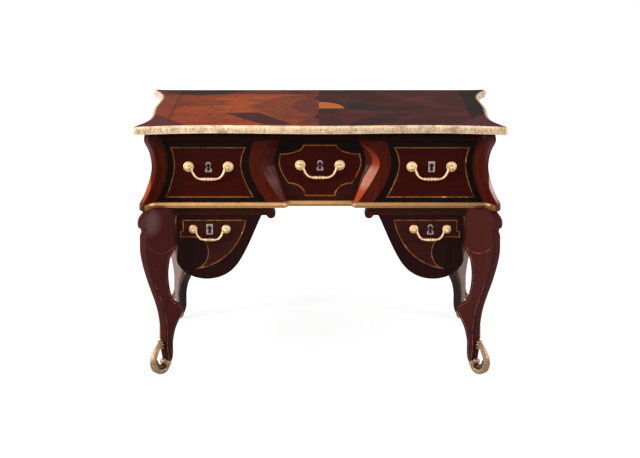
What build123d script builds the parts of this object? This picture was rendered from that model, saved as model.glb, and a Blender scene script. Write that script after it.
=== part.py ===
"""A bureau mazarin: a waisted five-drawer writing desk on four diagonal cabriole legs.

Millimetres, +Z up, +X to the right seen from the front, and the front faces -Y. The origin is on the floor
under the middle of the desk. The desk is the same on both sides, so its right half is drawn and mirrored.
"""

import os
from math import sqrt

from build123d import *

os.makedirs("parts", exist_ok=True)

# ------------------------------------------------------------------ overall sizes
TOP_WIDTH = 1120
TOP_DEPTH = 650
HEIGHT = 800
TOP_THICKNESS = 24
FRIEZE_HEIGHT = 30
UPPER_CASE_HEIGHT = 223
BASE_THICKNESS = 18
WAIST_HEIGHT = 113  # the narrowest level of the case, above the base board

# ------------------------------------------------------------------ writing top
TOP_MOULDING_WIDTH = 14
TOP_MOULDING_ROUND = 8
TOP_FRONT_HOLLOW = 20
TOP_FRONT_BULGE = 11
TOP_SIDE_HOLLOW = 30
TOP_HOLLOW_REACH = 190  # from the corner to the deepest part of the front hollow
TOP_EAR_REACH = 80
TOP_CORNER_RADIUS = 10
TOP_CORNER_TRIM = 8  # what the rounding takes off the sharp corner
HOLLOW_SHARE = 0.85  # of a side's hollow, reached where its ear ends

# ------------------------------------------------------------------ waisted case
TIP_INSET = 48  # corner tip at the waist, inside the top's outline
TIP_RISE = 18  # how far the corner tips stand out again at the frieze
TIP_FALL_X = 38  # and at the base
TIP_FALL_Y = 26
CANT = 15  # flat across the corner tip
FRONT_INSET = 79
FRONT_RISE = 22
FRONT_FALL = 10
SIDE_HOLLOW = 30
POST_INSET = 96  # outer edge of the side drawers at the waist, inside the top's outline
POST_RISE = 13
POST_FALL = 35
SIDE_DRAWER_WIDTH = 247
STILE_RISE = 16
STILE_FALL = 53
STILE_WIDTH = 77  # inner stile, over its front and its return, at the waist
STILE_FRONT_WIDTH = 36
SCROLL_RISE = 80
SCROLL_FALL = 66
RECESS_RISE = 45
RECESS_FALL = 39
RECESS_DEPTH = 22
BEVEL_SHARE = 0.45  # of the return between the recess and the front
BEVEL_DEPTH = 7
POST_DEPTH = 65
RAIL_DEPTH = 60
STILE_DEPTH = 40
SIDE_THICKNESS = 12
BACK_THICKNESS = 12
PARTITION_THICKNESS = 16

# ------------------------------------------------------------------ waist moulding
WAIST_MOULDING_OUT = 9
WAIST_MOULDING_ROUND = 6

# ------------------------------------------------------------------ drawers
GAP = 1.0  # running gap round every drawer front
FRONT_THICKNESS = 24
BOX_BOARD = 10
BOX_BOTTOM = 6
BOX_BOTTOM_RAISE = 4
BOX_SIDE_CLEARANCE = 8
BOX_TOP_CLEARANCE = 9
BOX_BACK_CLEARANCE = 8
RUNNER_GAP = 0.5
GUIDE_SIZE = 12
GUIDE_GAP = 1.0

# ------------------------------------------------------------------ lower case
LOWER_RAIL_HEIGHT = 27
LOWER_SETBACK = 12  # lower fronts behind the case front at the base
LOWER_RAIL_THICKNESS = 36
VOLUTE_RADIUS = 14
VOLUTE_LEAD = 29  # volute's centre past the pendant front's inner corner
VOLUTE_DROP = 23  # volute's centre below the base board
LOBE_INSET = 119  # outer end of the pendant front, inside the top's outline
LOBE_WIDTH = 261
LOBE_DROP = 203
LOBE_SHAPE = (  # shares of the pendant front's width and drop, down its inner side and round the lobe
    (0, 0), (0.1, 0.29), (0.2, 0.567), (0.395, 0.897), (0.632, 1), (0.9, 0.906), (1.015, 0.69),
    (0.99, 0.512), (1, 0.384),
)
CHEEK_THICKNESS = 10
CHEEK_HEIGHT = 104
INNER_CHEEK_INSET = 37  # from the pendant front's inner corner
OUTER_CHEEK_OUTSET = 1  # past its outer end
RUNNER_THICKNESS = 8
RUNNER_WIDTH = 14
APRON_THICKNESS = 16
APRON_HEIGHT = 74
APRON_ARCH = 34

# ------------------------------------------------------------------ legs and feet
LEG_INSET_X = 80  # middle of the leg, inside the top's outline
LEG_INSET_Y = 75
LEG_BOTTOM = 40
LEG_ROUND = 3
LEG_SECTIONS = (  # share of the leg's height from its top, shift outwards, width, depth along the diagonal
    (0, 17, 34, 94),
    (0.07, 28, 34, 126),
    (0.135, 23, 34, 114),
    (0.19, 25, 34, 119),
    (0.25, 25, 34, 121),
    (0.305, 33, 34, 98),
    (0.42, 34, 33, 67),
    (0.54, 19, 32, 56),
    (0.66, 4, 31, 46),
    (0.8, 2.5, 31, 30),
    (0.9, 3, 31, 28),
    (1, 4, 29, 26),
)
SPUR_HEIGHT = 201
SPUR_REACH = 57
SPUR_THICKNESS = 24
SPUR_SHAPE = (  # share of the spur's reach, height from its tip, down its outline
    (0.105, 56), (-0.22, 29), (-0.66, 20), (-1, 0), (-0.66, -34), (-0.2, -72), (0.105, -100),
)
FOOT_WIDTH = 22
FOOT_REACH = 69
FOOT_HEIGHT = 109
FOOT_BAND = 9
FOOT_BULGE_HEIGHT = 47
FOOT_PAD_INNER = 28
FOOT_PAD_OUTER = 41
FOOT_BALL_RADIUS = 12
FOOT_BALL_SHIFT = 11
FOOT_BALL_HEIGHT = 41
FOOT_KNOB_RADIUS = 6
FOOT_KNOB_SHIFT = 22

# ------------------------------------------------------------------ pulls and locks
PULL_SPACING = 121
LOWER_PULL_SPACING = 102
PULL_BELOW_FRIEZE = 84
LOWER_PULL_BELOW_RAIL = 44
LOWER_PULL_ACROSS = 160.5  # from the pendant front's inner corner
ROSETTE_RADIUS = 16.5
LOWER_ROSETTE_RADIUS = 13.5
ROSETTE_THICKNESS = 5
NECK_RADIUS = 4
KNOB_RADIUS = 6.5
PIVOT_STANDOFF = 14
SHANK_RADIUS = 2.5
HOLE_CLEARANCE = 0.1
MORTISE_CLEARANCE = 0.5
MORTISE_DEPTH = 10
NUT_RADIUS = 6
NUT_THICKNESS = 4
BAIL_RADIUS = 2.6
PIN_RADIUS = 2.0
PIN_CLEARANCE = 0.06
PIN_REACH = 2.5  # past the middle of the knob
BAIL_DROP = 41
LOWER_BAIL_DROP = 33
BAIL_KNOB_GAP = 0.6
BAIL_SHOULDER = (0.84, 0.6)  # shares of the arm's reach and of the drop, where the bail turns in
BAIL_FLAT_SHARE = 0.35  # of the arm's reach, the level run each side of the middle
BAIL_BEAD_RADIUS = 4.6
BAIL_BEADS = ((0.17, 0.86), (0.3, 0.75))  # shares of the arm's reach and of the bead's radius
KEY_PLATE_WIDTH = 20
KEY_PLATE_HEIGHT = 33
KEY_PLATE_THICKNESS = 1.6
KEYHOLE_RADIUS = 2.2
KEYHOLE_SLOT = 9
KEYHOLE_SLOT_WIDTH = 2.4
LOCK_WIDTH = 52
LOCK_DEPTH = 12
LOCK_BELOW_KEY = 12
LOCK_TOP_CLEARANCE = 3
BOLT_WIDTH = 16
BOLT_THICKNESS = 5
BOLT_STICK_OUT = 1.5

# ------------------------------------------------------------------ levels and planes
HALF_WIDTH = TOP_WIDTH / 2
HALF_DEPTH = TOP_DEPTH / 2
CASE_TOP_Z = HEIGHT - TOP_THICKNESS
FRIEZE_Z = CASE_TOP_Z - FRIEZE_HEIGHT
CASE_BASE_Z = CASE_TOP_Z - UPPER_CASE_HEIGHT
UNDERSIDE_Z = CASE_BASE_Z - BASE_THICKNESS
WAIST_Z = CASE_BASE_Z + WAIST_HEIGHT
FALL_SHARES = (0, 0.2, 0.42, 0.68)
RISE_SHARES = (0.4, 0.72)
LEVELS = (
    [CASE_BASE_Z + WAIST_HEIGHT * share for share in FALL_SHARES]
    + [WAIST_Z]
    + [WAIST_Z + (FRIEZE_Z - WAIST_Z) * share for share in RISE_SHARES]
    + [FRIEZE_Z, (FRIEZE_Z + CASE_TOP_Z) / 2, CASE_TOP_Z]
)
LEVEL_MARGIN = 4
WAIST_FRONT_Y = FRONT_INSET - HALF_DEPTH
INSIDE_BACK_Y = HALF_DEPTH - FRONT_INSET - BACK_THICKNESS
INNER_EDGE_X = HALF_WIDTH - POST_INSET - SIDE_DRAWER_WIDTH
LEG_X = HALF_WIDTH - LEG_INSET_X
LEG_Y = HALF_DEPTH - LEG_INSET_Y
BEYOND = 40  # how far a cutting shape runs past what it cuts


def finish(piece, name):
    """Label a finished piece and write it as the node of that name."""
    piece.part.label = name
    export_step(piece.part, f"parts/{name}.step")


def flipped(piece, about):
    """Mirror image of a finished piece."""
    with BuildPart() as copy:
        mirror(piece.part, about=about)
    return copy


def finish_pair(piece, name):
    """Write a right-hand piece and its left-hand mirror image."""
    finish(piece, f"{name}_right")
    finish(flipped(piece, Plane.YZ), f"{name}_left")


def block(x, y, z):
    """Box between two x, two y and two z values, added to the piece being built."""
    with Locations(((x[0] + x[1]) / 2, (y[0] + y[1]) / 2, (z[0] + z[1]) / 2)):
        Box(x[1] - x[0], y[1] - y[0], z[1] - z[0])


# ------------------------------------------------------------------ shape of the case
def swell(z, rise, fall, rise_power=2.0, fall_power=1.6, top=FRIEZE_Z):
    """How far an edge stands away, at height z, from where it is at the waist."""
    if z >= WAIST_Z:
        return rise * min((z - WAIST_Z) / (top - WAIST_Z), 1) ** rise_power
    return fall * ((WAIST_Z - z) / WAIST_HEIGHT) ** fall_power


def front_y(z):
    return WAIST_FRONT_Y - swell(z, FRONT_RISE, FRONT_FALL)


def outer_edge(z):
    return HALF_WIDTH - POST_INSET + swell(z, POST_RISE, POST_FALL)


def inner_edge(z):
    return INNER_EDGE_X - swell(z, STILE_RISE, STILE_FALL)


def scroll_edge(z):
    return INNER_EDGE_X - STILE_FRONT_WIDTH - swell(z, SCROLL_RISE, SCROLL_FALL, 2.4, 1.25, CASE_TOP_Z)


def recess_edge(z):
    return INNER_EDGE_X - STILE_WIDTH - swell(z, RECESS_RISE, RECESS_FALL, 2.0, 1.1, CASE_TOP_Z)


def middle(z):
    return 0.0


def case_plan(z, outset=0.0):
    """Right half of the case's plan at height z, with the recess in its middle and its flared corner."""
    front = front_y(z) - outset
    edge, arris = recess_edge(z) - outset, scroll_edge(z) - outset
    bevel = arris - BEVEL_SHARE * (arris - edge)
    start = (outer_edge(z), front)
    tip_x = HALF_WIDTH - TIP_INSET + swell(z, TIP_RISE, TIP_FALL_X) + outset
    tip_y = HALF_DEPTH - TIP_INSET + swell(z, TIP_RISE, TIP_FALL_Y) + outset
    arris_point = (tip_x - CANT, -tip_y)
    cant_point = (tip_x, CANT - tip_y)
    side = (tip_x - SIDE_HOLLOW, 0)
    hollow = (tip_x - HOLLOW_SHARE * SIDE_HOLLOW, TOP_EAR_REACH + CANT - tip_y)
    with BuildSketch() as plan:
        with BuildLine():
            Polyline((0, front + RECESS_DEPTH), (edge, front + RECESS_DEPTH), (bevel, front + BEVEL_DEPTH),
                     (arris, front), start)
            Spline(start, arris_point, tangents=((1, 0), (1, -1)))
            Line(arris_point, cant_point)
            Spline(cant_point, hollow, side, tangents=((-0.5, 1), (0, 1)))
            Spline(side, (hollow[0], -hollow[1]), (cant_point[0], -cant_point[1]),
                   tangents=((0, 1), (0.5, 1)))
            Line((cant_point[0], -cant_point[1]), (arris_point[0], tip_y))
            Spline((arris_point[0], tip_y), (start[0], -front), tangents=((-1, -1), (-1, 0)))
            Polyline((start[0], -front), (0, -front), (0, front + RECESS_DEPTH))
        make_face()
    return plan.sketch


with BuildPart() as case_half:
    for level in LEVELS:
        with BuildSketch(Plane.XY.offset(level)):
            add(case_plan(level))
    loft()


def elevation(left, right, bottom, top, gap=0.0):
    """Front view of a piece of the case between two edges and two heights, less a gap all round."""
    low, high = bottom + gap, top - gap
    heights = [low] + [z for z in LEVELS if low + LEVEL_MARGIN < z < high - LEVEL_MARGIN] + [high]
    with BuildSketch() as face:
        with BuildLine():
            left_line = Spline(*[(left(z) + (gap if left(z) else 0), z) for z in heights])
            right_line = Spline(*[(right(z) - gap, z) for z in heights])
            Line(left_line @ 0, right_line @ 0)
            Line(left_line @ 1, right_line @ 1)
        make_face()
    return face.sketch


def case_piece(face, back):
    """Right-hand piece of the case with the front view face and a flat back."""
    with BuildPart() as piece:
        with BuildSketch(Plane.XZ.offset(-back)):
            add(face)
        extrude(amount=back + HALF_DEPTH)
        add(case_half.part, mode=Mode.INTERSECT)
    return piece


def far_right(z):
    return HALF_WIDTH


# ------------------------------------------------------------------ writing top
def top_plan(inset=0.0):
    """Plan of the top: serpentine front, hollow sides, straight back, and flared rounded corners."""
    x, y = HALF_WIDTH - inset, HALF_DEPTH - inset
    tip_x, tip_y = x + TOP_CORNER_TRIM, y + TOP_CORNER_TRIM
    middle_y = TOP_FRONT_HOLLOW - TOP_FRONT_BULGE - y
    hollow_x = x - HOLLOW_SHARE * TOP_SIDE_HOLLOW
    with BuildSketch() as plan:
        with BuildLine():
            Spline((0, middle_y), (x - TOP_HOLLOW_REACH, TOP_FRONT_HOLLOW - y), (tip_x, -tip_y),
                   tangents=((1, 0), (1, -0.25)))
            Spline((tip_x, -tip_y), (hollow_x, TOP_EAR_REACH - y), (x - TOP_SIDE_HOLLOW, 0),
                   tangents=((-0.4, 1), (0, 1)))
            Spline((x - TOP_SIDE_HOLLOW, 0), (hollow_x, y - TOP_EAR_REACH), (tip_x, tip_y),
                   tangents=((0, 1), (0.4, 1)))
            Spline((tip_x, tip_y), (x - TOP_EAR_REACH, y), tangents=((-1, -0.25), (-1, 0)))
            Polyline((x - TOP_EAR_REACH, y), (0, y), (0, middle_y))
        make_face()
        if inset < TOP_CORNER_RADIUS:
            tips = plan.vertices().filter_by(lambda corner: corner.X > x)
            fillet(tips, TOP_CORNER_RADIUS)
        mirror(about=Plane.YZ)
    return plan.sketch


with BuildPart() as top_panel:
    with BuildSketch(Plane.XY.offset(CASE_TOP_Z)):
        add(top_plan(TOP_MOULDING_WIDTH))
    extrude(amount=TOP_THICKNESS)
finish(top_panel, "top_panel")

with BuildPart() as top_edge:
    with BuildSketch(Plane.XY.offset(CASE_TOP_Z)):
        add(top_plan())
    extrude(amount=TOP_THICKNESS)
    rims = top_edge.edges().group_by(Axis.Z)
    fillet(rims[0] + rims[-1], TOP_MOULDING_ROUND)
    add(top_panel.part, mode=Mode.SUBTRACT)


def mitred(corners, name):
    """Length of the top's edge moulding inside a plan outline that cuts its mitres."""
    with BuildPart() as length:
        with BuildSketch(Plane.XY.offset(CASE_TOP_Z)):
            Polygon(*corners, align=None)
        extrude(amount=TOP_THICKNESS)
        add(top_edge.part, mode=Mode.INTERSECT)
    finish(length, name)


for side, name in ((-1, "front"), (1, "back")):
    mitred([(x * (HALF_WIDTH - run), side * (HALF_DEPTH - run))
            for x, run in ((-1, BEYOND * 2), (-1, -BEYOND), (1, -BEYOND), (1, BEYOND * 2))],
           f"top_moulding_{name}")
for side, name in ((-1, "left"), (1, "right")):
    mitred([(side * (HALF_WIDTH - run), y * (HALF_DEPTH - run))
            for y, run in ((-1, BEYOND * 2), (-1, -BEYOND), (1, -BEYOND), (1, BEYOND * 2))],
           f"top_moulding_{name}")


# ------------------------------------------------------------------ upper case
with BuildPart() as front_post:
    add(case_piece(elevation(outer_edge, far_right, CASE_BASE_Z, FRIEZE_Z), WAIST_FRONT_Y + POST_DEPTH).part)
    with BuildSketch(Plane.XY.offset(FRIEZE_Z)):
        with Locations((outer_edge(FRIEZE_Z), -HALF_DEPTH)):
            Rectangle(HALF_WIDTH, HALF_DEPTH + WAIST_FRONT_Y + POST_DEPTH, align=Align.MIN)
    extrude(amount=FRIEZE_HEIGHT)
    add(case_half.part, mode=Mode.INTERSECT)
finish_pair(front_post, "front_post")
finish_pair(flipped(front_post, Plane.XZ), "rear_post")

with BuildPart() as frieze_rail:
    block((0, outer_edge(CASE_TOP_Z)), (-HALF_DEPTH, WAIST_FRONT_Y + RAIL_DEPTH), (FRIEZE_Z, CASE_TOP_Z))
    add(case_half.part, mode=Mode.INTERSECT)
    mirror(about=Plane.YZ)

inner_stile = case_piece(elevation(recess_edge, inner_edge, CASE_BASE_Z, FRIEZE_Z),
                         WAIST_FRONT_Y + STILE_DEPTH)
finish_pair(inner_stile, "inner_stile")

SIDE_INNER_X = HALF_WIDTH - TIP_INSET - SIDE_HOLLOW - SIDE_THICKNESS
with BuildPart() as side_panel:
    block((SIDE_INNER_X, HALF_WIDTH), (WAIST_FRONT_Y + POST_DEPTH, -WAIST_FRONT_Y - POST_DEPTH),
          (CASE_BASE_Z, CASE_TOP_Z))
    add(case_half.part, mode=Mode.INTERSECT)
finish_pair(side_panel, "side_panel")

with BuildPart() as back_panel:
    with BuildSketch(Plane.XZ.offset(-INSIDE_BACK_Y - BACK_THICKNESS)):
        add(elevation(middle, outer_edge, CASE_BASE_Z, FRIEZE_Z))
        with Locations((0, FRIEZE_Z)):
            Rectangle(outer_edge(FRIEZE_Z), FRIEZE_HEIGHT, align=Align.MIN)
    extrude(amount=BACK_THICKNESS)
    mirror(about=Plane.YZ)
finish(back_panel, "back_panel")

PARTITION_X = inner_edge(CASE_BASE_Z)
with BuildPart() as partitions:
    block((PARTITION_X - PARTITION_THICKNESS, PARTITION_X), (WAIST_FRONT_Y + STILE_DEPTH, INSIDE_BACK_Y),
          (CASE_BASE_Z, CASE_TOP_Z))
    add(frieze_rail.part, mode=Mode.SUBTRACT)
    mirror(about=Plane.YZ)
finish(partitions, "partitions")

with BuildPart() as base_board:
    with BuildSketch(Plane.XY.offset(UNDERSIDE_Z)):
        add(case_plan(CASE_BASE_Z))
        mirror(about=Plane.YZ)
    extrude(amount=BASE_THICKNESS)
finish(base_board, "base_board")

# ------------------------------------------------------------------ waist moulding
MOULDING_SPLIT_X = recess_edge(CASE_BASE_Z) - WAIST_MOULDING_OUT
ARRIS_X = HALF_WIDTH - TIP_INSET + TIP_FALL_X - CANT
ARRIS_Y = HALF_DEPTH - TIP_INSET + TIP_FALL_Y
with BuildPart() as moulding_run:
    with BuildSketch(Plane.XY.offset(UNDERSIDE_Z)):
        add(case_plan(CASE_BASE_Z, WAIST_MOULDING_OUT))
    extrude(amount=BASE_THICKNESS)
    rims = moulding_run.edges().group_by(Axis.Z)
    front_rims = (rims[0] + rims[-1]).filter_by(lambda edge: edge.center().Y < WAIST_FRONT_Y / 2)
    fillet(front_rims, WAIST_MOULDING_ROUND)
    add(base_board.part, mode=Mode.SUBTRACT)
with BuildPart() as side_moulding:
    with BuildSketch(Plane.XY.offset(UNDERSIDE_Z)):
        Polygon((MOULDING_SPLIT_X, 0), (ARRIS_X - BEYOND, WAIST_FRONT_Y), (ARRIS_X, -ARRIS_Y),
                (ARRIS_X - BEYOND, -ARRIS_Y - BEYOND), (MOULDING_SPLIT_X, -ARRIS_Y - BEYOND), align=None)
    extrude(amount=BASE_THICKNESS)
    add(moulding_run.part, mode=Mode.INTERSECT)
with BuildPart() as middle_moulding:
    block((0, MOULDING_SPLIT_X), (-HALF_DEPTH, WAIST_FRONT_Y / 2), (UNDERSIDE_Z, CASE_BASE_Z))
    add(moulding_run.part, mode=Mode.INTERSECT)
    mirror(about=Plane.YZ)
finish_pair(side_moulding, "waist_moulding")
finish(middle_moulding, "waist_moulding_middle")

# ------------------------------------------------------------------ legs and feet
LEG_HEIGHT = UNDERSIDE_Z - LEG_BOTTOM


def leg_plane(height, outwards):
    """Level plane whose x axis runs outwards along the desk's diagonal."""
    step = outwards / sqrt(2)
    return Plane(origin=(LEG_X + step, -LEG_Y - step, height), x_dir=(1, -1, 0), z_dir=(0, 0, 1))


leg_profile_plane = Plane(origin=(LEG_X, -LEG_Y, 0), x_dir=(1, -1, 0), z_dir=(-1, -1, 0))

with BuildPart() as leg:
    for share, outwards, width, depth in LEG_SECTIONS:
        with BuildSketch(leg_plane(UNDERSIDE_Z - share * LEG_HEIGHT, outwards)):
            RectangleRounded(depth, width, LEG_ROUND)
    loft()
    with BuildSketch(leg_profile_plane):
        with BuildLine():
            spur_line = Spline(*[(share * SPUR_REACH, SPUR_HEIGHT + up) for share, up in SPUR_SHAPE])
            Line(spur_line @ 1, spur_line @ 0)
        make_face()
    extrude(amount=SPUR_THICKNESS / 2, both=True)

with BuildPart() as foot:
    with BuildSketch(leg_profile_plane):
        with BuildLine():
            bulge = FOOT_REACH - FOOT_BAND
            outside = Spline((FOOT_BALL_SHIFT, FOOT_HEIGHT), (0.64 * FOOT_REACH, 0.76 * FOOT_HEIGHT),
                             (FOOT_REACH, FOOT_BULGE_HEIGHT), (0.82 * FOOT_REACH, 0.28 * FOOT_BULGE_HEIGHT),
                             (FOOT_PAD_OUTER, 0), tangents=((1, -1), (-1, -0.35)))
            Line((FOOT_PAD_OUTER, 0), (FOOT_PAD_INNER, 0))
            heel = Spline((FOOT_PAD_INNER, 0), (0.3 * FOOT_PAD_INNER, 0.4 * FOOT_BALL_HEIGHT),
                          (FOOT_BALL_SHIFT - FOOT_BALL_RADIUS + 1, FOOT_BALL_HEIGHT))
            Line(heel @ 1, (FOOT_BALL_SHIFT, FOOT_BALL_HEIGHT))
            inside = Spline((FOOT_BALL_SHIFT, FOOT_BALL_HEIGHT), (FOOT_PAD_OUTER - 4, FOOT_BAND),
                            (0.82 * bulge, 0.5 * FOOT_BULGE_HEIGHT), (bulge, FOOT_BULGE_HEIGHT),
                            (0.64 * bulge, 0.69 * FOOT_HEIGHT), (FOOT_BALL_SHIFT, 0.84 * FOOT_HEIGHT))
            Line(inside @ 1, outside @ 0)
        make_face()
        with Locations((FOOT_BALL_SHIFT, FOOT_BALL_HEIGHT)):
            Circle(FOOT_BALL_RADIUS)
        with Locations((FOOT_KNOB_SHIFT, FOOT_HEIGHT - FOOT_KNOB_RADIUS / 2)):
            Circle(FOOT_KNOB_RADIUS)
    extrude(amount=FOOT_WIDTH / 2, both=True)
    add(leg.part, mode=Mode.SUBTRACT)

for piece, name in ((leg, "leg"), (foot, "foot")):
    finish_pair(piece, f"{name}_front")
    finish_pair(flipped(piece, Plane.XZ), f"{name}_rear")

# ------------------------------------------------------------------ lower case
LOWER_FRONT_Y = front_y(CASE_BASE_Z) + LOWER_SETBACK
LOWER_TOP_Z = UNDERSIDE_Z - LOWER_RAIL_HEIGHT
LOBE_OUTER = HALF_WIDTH - LOBE_INSET
LOBE_INNER = LOBE_OUTER - LOBE_WIDTH
VOLUTE_X = LOBE_INNER - VOLUTE_LEAD
INNER_CHEEK_X = LOBE_INNER + INNER_CHEEK_INSET
OUTER_CHEEK_X = LOBE_OUTER + OUTER_CHEEK_OUTSET
LOWER_RAIL_BACK_Y = LOWER_FRONT_Y + LOWER_RAIL_THICKNESS
APRON_LOW_Z = UNDERSIDE_Z - APRON_HEIGHT
CHEEK_LOW_Z = UNDERSIDE_Z - CHEEK_HEIGHT


def apron_face(start, end):
    """Elevation of an apron between two places along it, with an arched lower edge."""
    with BuildSketch() as face:
        with BuildLine():
            Polyline((start, APRON_LOW_Z), (start, UNDERSIDE_Z), (end, UNDERSIDE_Z), (end, APRON_LOW_Z))
            ThreePointArc((start, APRON_LOW_Z), ((start + end) / 2, APRON_LOW_Z + APRON_ARCH),
                          (end, APRON_LOW_Z))
        make_face()
    return face.sketch


with BuildPart() as lower_rail:
    block((VOLUTE_X, LEG_X), (LOWER_FRONT_Y, LOWER_RAIL_BACK_Y), (LOWER_TOP_Z, UNDERSIDE_Z))
    with BuildSketch(Plane.XZ.offset(-LOWER_RAIL_BACK_Y)):
        with Locations((VOLUTE_X, UNDERSIDE_Z - VOLUTE_DROP)):
            Circle(VOLUTE_RADIUS)
    extrude(amount=LOWER_RAIL_THICKNESS)
    add(leg.part, mode=Mode.SUBTRACT)

with BuildPart() as side_apron:
    with BuildSketch(Plane.YZ.offset(HALF_WIDTH - TIP_INSET + TIP_FALL_X - SIDE_HOLLOW - APRON_THICKNESS)):
        add(apron_face(-LEG_Y, LEG_Y))
    extrude(amount=APRON_THICKNESS)
    add(leg.part, mode=Mode.SUBTRACT)
    add(flipped(leg, Plane.XZ).part, mode=Mode.SUBTRACT)
finish_pair(side_apron, "side_apron")

with BuildPart() as back_aprons:
    with BuildSketch(Plane.XZ.offset(LOWER_FRONT_Y)):
        add(apron_face(INNER_CHEEK_X, LEG_X))
    extrude(amount=APRON_THICKNESS)
    add(flipped(leg, Plane.XZ).part, mode=Mode.SUBTRACT)
    mirror(about=Plane.YZ)
finish(back_aprons, "back_aprons")

with BuildPart() as lower_cheeks:
    cheek_back_y = -LOWER_FRONT_Y - APRON_THICKNESS
    for near, far, inside in ((INNER_CHEEK_X, INNER_CHEEK_X + CHEEK_THICKNESS, 1),
                              (OUTER_CHEEK_X, OUTER_CHEEK_X - CHEEK_THICKNESS, -1)):
        block(sorted((near, far)), (LOWER_RAIL_BACK_Y, cheek_back_y), (CHEEK_LOW_Z, UNDERSIDE_Z))
        block(sorted((far, far + inside * RUNNER_WIDTH)), (LOWER_RAIL_BACK_Y, cheek_back_y),
              (CHEEK_LOW_Z, CHEEK_LOW_Z + RUNNER_THICKNESS))
    mirror(about=Plane.YZ)
finish(lower_cheeks, "lower_cheeks")

# ------------------------------------------------------------------ drawers
SIDE_DRAWER_X = (outer_edge(WAIST_Z) + inner_edge(WAIST_Z)) / 2
LOWER_DRAWER_X = LOBE_INNER + LOWER_PULL_ACROSS
PULL_HEIGHT = FRIEZE_Z - PULL_BELOW_FRIEZE
LOWER_PULL_HEIGHT = LOWER_TOP_Z - LOWER_PULL_BELOW_RAIL
BOX_TOP_Z = FRIEZE_Z - BOX_TOP_CLEARANCE
UPPER_BOX_Z = (CASE_BASE_Z + RUNNER_GAP, BOX_TOP_Z)
LOWER_BOX_Z = (CHEEK_LOW_Z + RUNNER_THICKNESS + RUNNER_GAP, LOWER_TOP_Z - BOX_TOP_CLEARANCE)
SIDE_FRONT_BACK_Y = WAIST_FRONT_Y + FRONT_THICKNESS
MIDDLE_FRONT_BACK_Y = SIDE_FRONT_BACK_Y + RECESS_DEPTH
LOWER_FRONT_BACK_Y = LOWER_FRONT_Y + FRONT_THICKNESS
UPPER_BOX_BACK_Y = INSIDE_BACK_Y - BOX_BACK_CLEARANCE
LOWER_BOX_BACK_Y = -LOWER_FRONT_Y - APRON_THICKNESS - BOX_BACK_CLEARANCE
MIDDLE_BOX_HALF = recess_edge(CASE_BASE_Z) - BOX_SIDE_CLEARANCE
SIDE_BOX_X = (inner_edge(WAIST_Z) + BOX_SIDE_CLEARANCE, outer_edge(WAIST_Z) - BOX_SIDE_CLEARANCE)
LOWER_BOX_X = (INNER_CHEEK_X + CHEEK_THICKNESS + GUIDE_GAP, OUTER_CHEEK_X - CHEEK_THICKNESS - GUIDE_GAP)

side_front = case_piece(elevation(inner_edge, outer_edge, CASE_BASE_Z, FRIEZE_Z, GAP), SIDE_FRONT_BACK_Y)

with BuildPart() as middle_front:
    add(case_piece(elevation(middle, recess_edge, CASE_BASE_Z, FRIEZE_Z, GAP), MIDDLE_FRONT_BACK_Y).part)
    mirror(about=Plane.YZ)

with BuildPart() as lower_front:
    with BuildSketch(Plane.XZ.offset(-LOWER_FRONT_BACK_Y)):
        with BuildLine():
            top_z = LOWER_TOP_Z - GAP
            lobe = Spline(*[(LOBE_INNER + across * (LOBE_OUTER - LOBE_INNER), top_z - down * LOBE_DROP)
                            for across, down in LOBE_SHAPE])
            Polyline(lobe @ 1, (LOBE_OUTER, top_z), lobe @ 0)
        make_face()
    extrude(amount=FRONT_THICKNESS)


def drawer_box(name, x, y, z):
    """Sides, back and bottom boards of a drawer, as separate solids that meet face to face."""
    inner_x = (x[0] + BOX_BOARD, x[1] - BOX_BOARD)
    with BuildPart() as sides:
        block((x[0], inner_x[0]), y, z)
        block((inner_x[1], x[1]), y, z)
    with BuildPart() as back:
        block(inner_x, (y[1] - BOX_BOARD, y[1]), z)
    with BuildPart() as bottom:
        low = z[0] + BOX_BOTTOM_RAISE
        block(inner_x, (y[0], y[1] - BOX_BOARD), (low, low + BOX_BOTTOM))
    box = Compound(label=name, children=[*sides.part.solids(), *back.part.solids(), *bottom.part.solids()])
    export_step(box, f"parts/{name}.step")


def keyhole_cut(plane, depth_in, depth_out):
    """Round keyhole with the slot under it, cut through the piece being built."""
    with BuildSketch(plane) as keyhole:
        Circle(KEYHOLE_RADIUS)
        with Locations((0, -KEYHOLE_SLOT / 2)):
            Rectangle(KEYHOLE_SLOT_WIDTH, KEYHOLE_SLOT)
    extrude(keyhole.sketch, amount=depth_out, mode=Mode.SUBTRACT)
    extrude(keyhole.sketch, amount=-depth_in, mode=Mode.SUBTRACT)


def key_plate_face(square):
    """Outline of a key plate, either a plain rectangle or a round head on a flared foot."""
    with BuildSketch() as face:
        if square:
            Rectangle(KEY_PLATE_WIDTH, KEY_PLATE_HEIGHT)
        else:
            with Locations((0, KEY_PLATE_HEIGHT / 5)):
                Circle(0.42 * KEY_PLATE_WIDTH)
            with Locations((0, -KEY_PLATE_HEIGHT / 8)):
                Rectangle(0.6 * KEY_PLATE_WIDTH, 0.7 * KEY_PLATE_HEIGHT)
            with Locations((0, KEY_PLATE_HEIGHT * -0.35)):
                Rectangle(KEY_PLATE_WIDTH, 0.3 * KEY_PLATE_HEIGHT)
    return face.sketch


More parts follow.
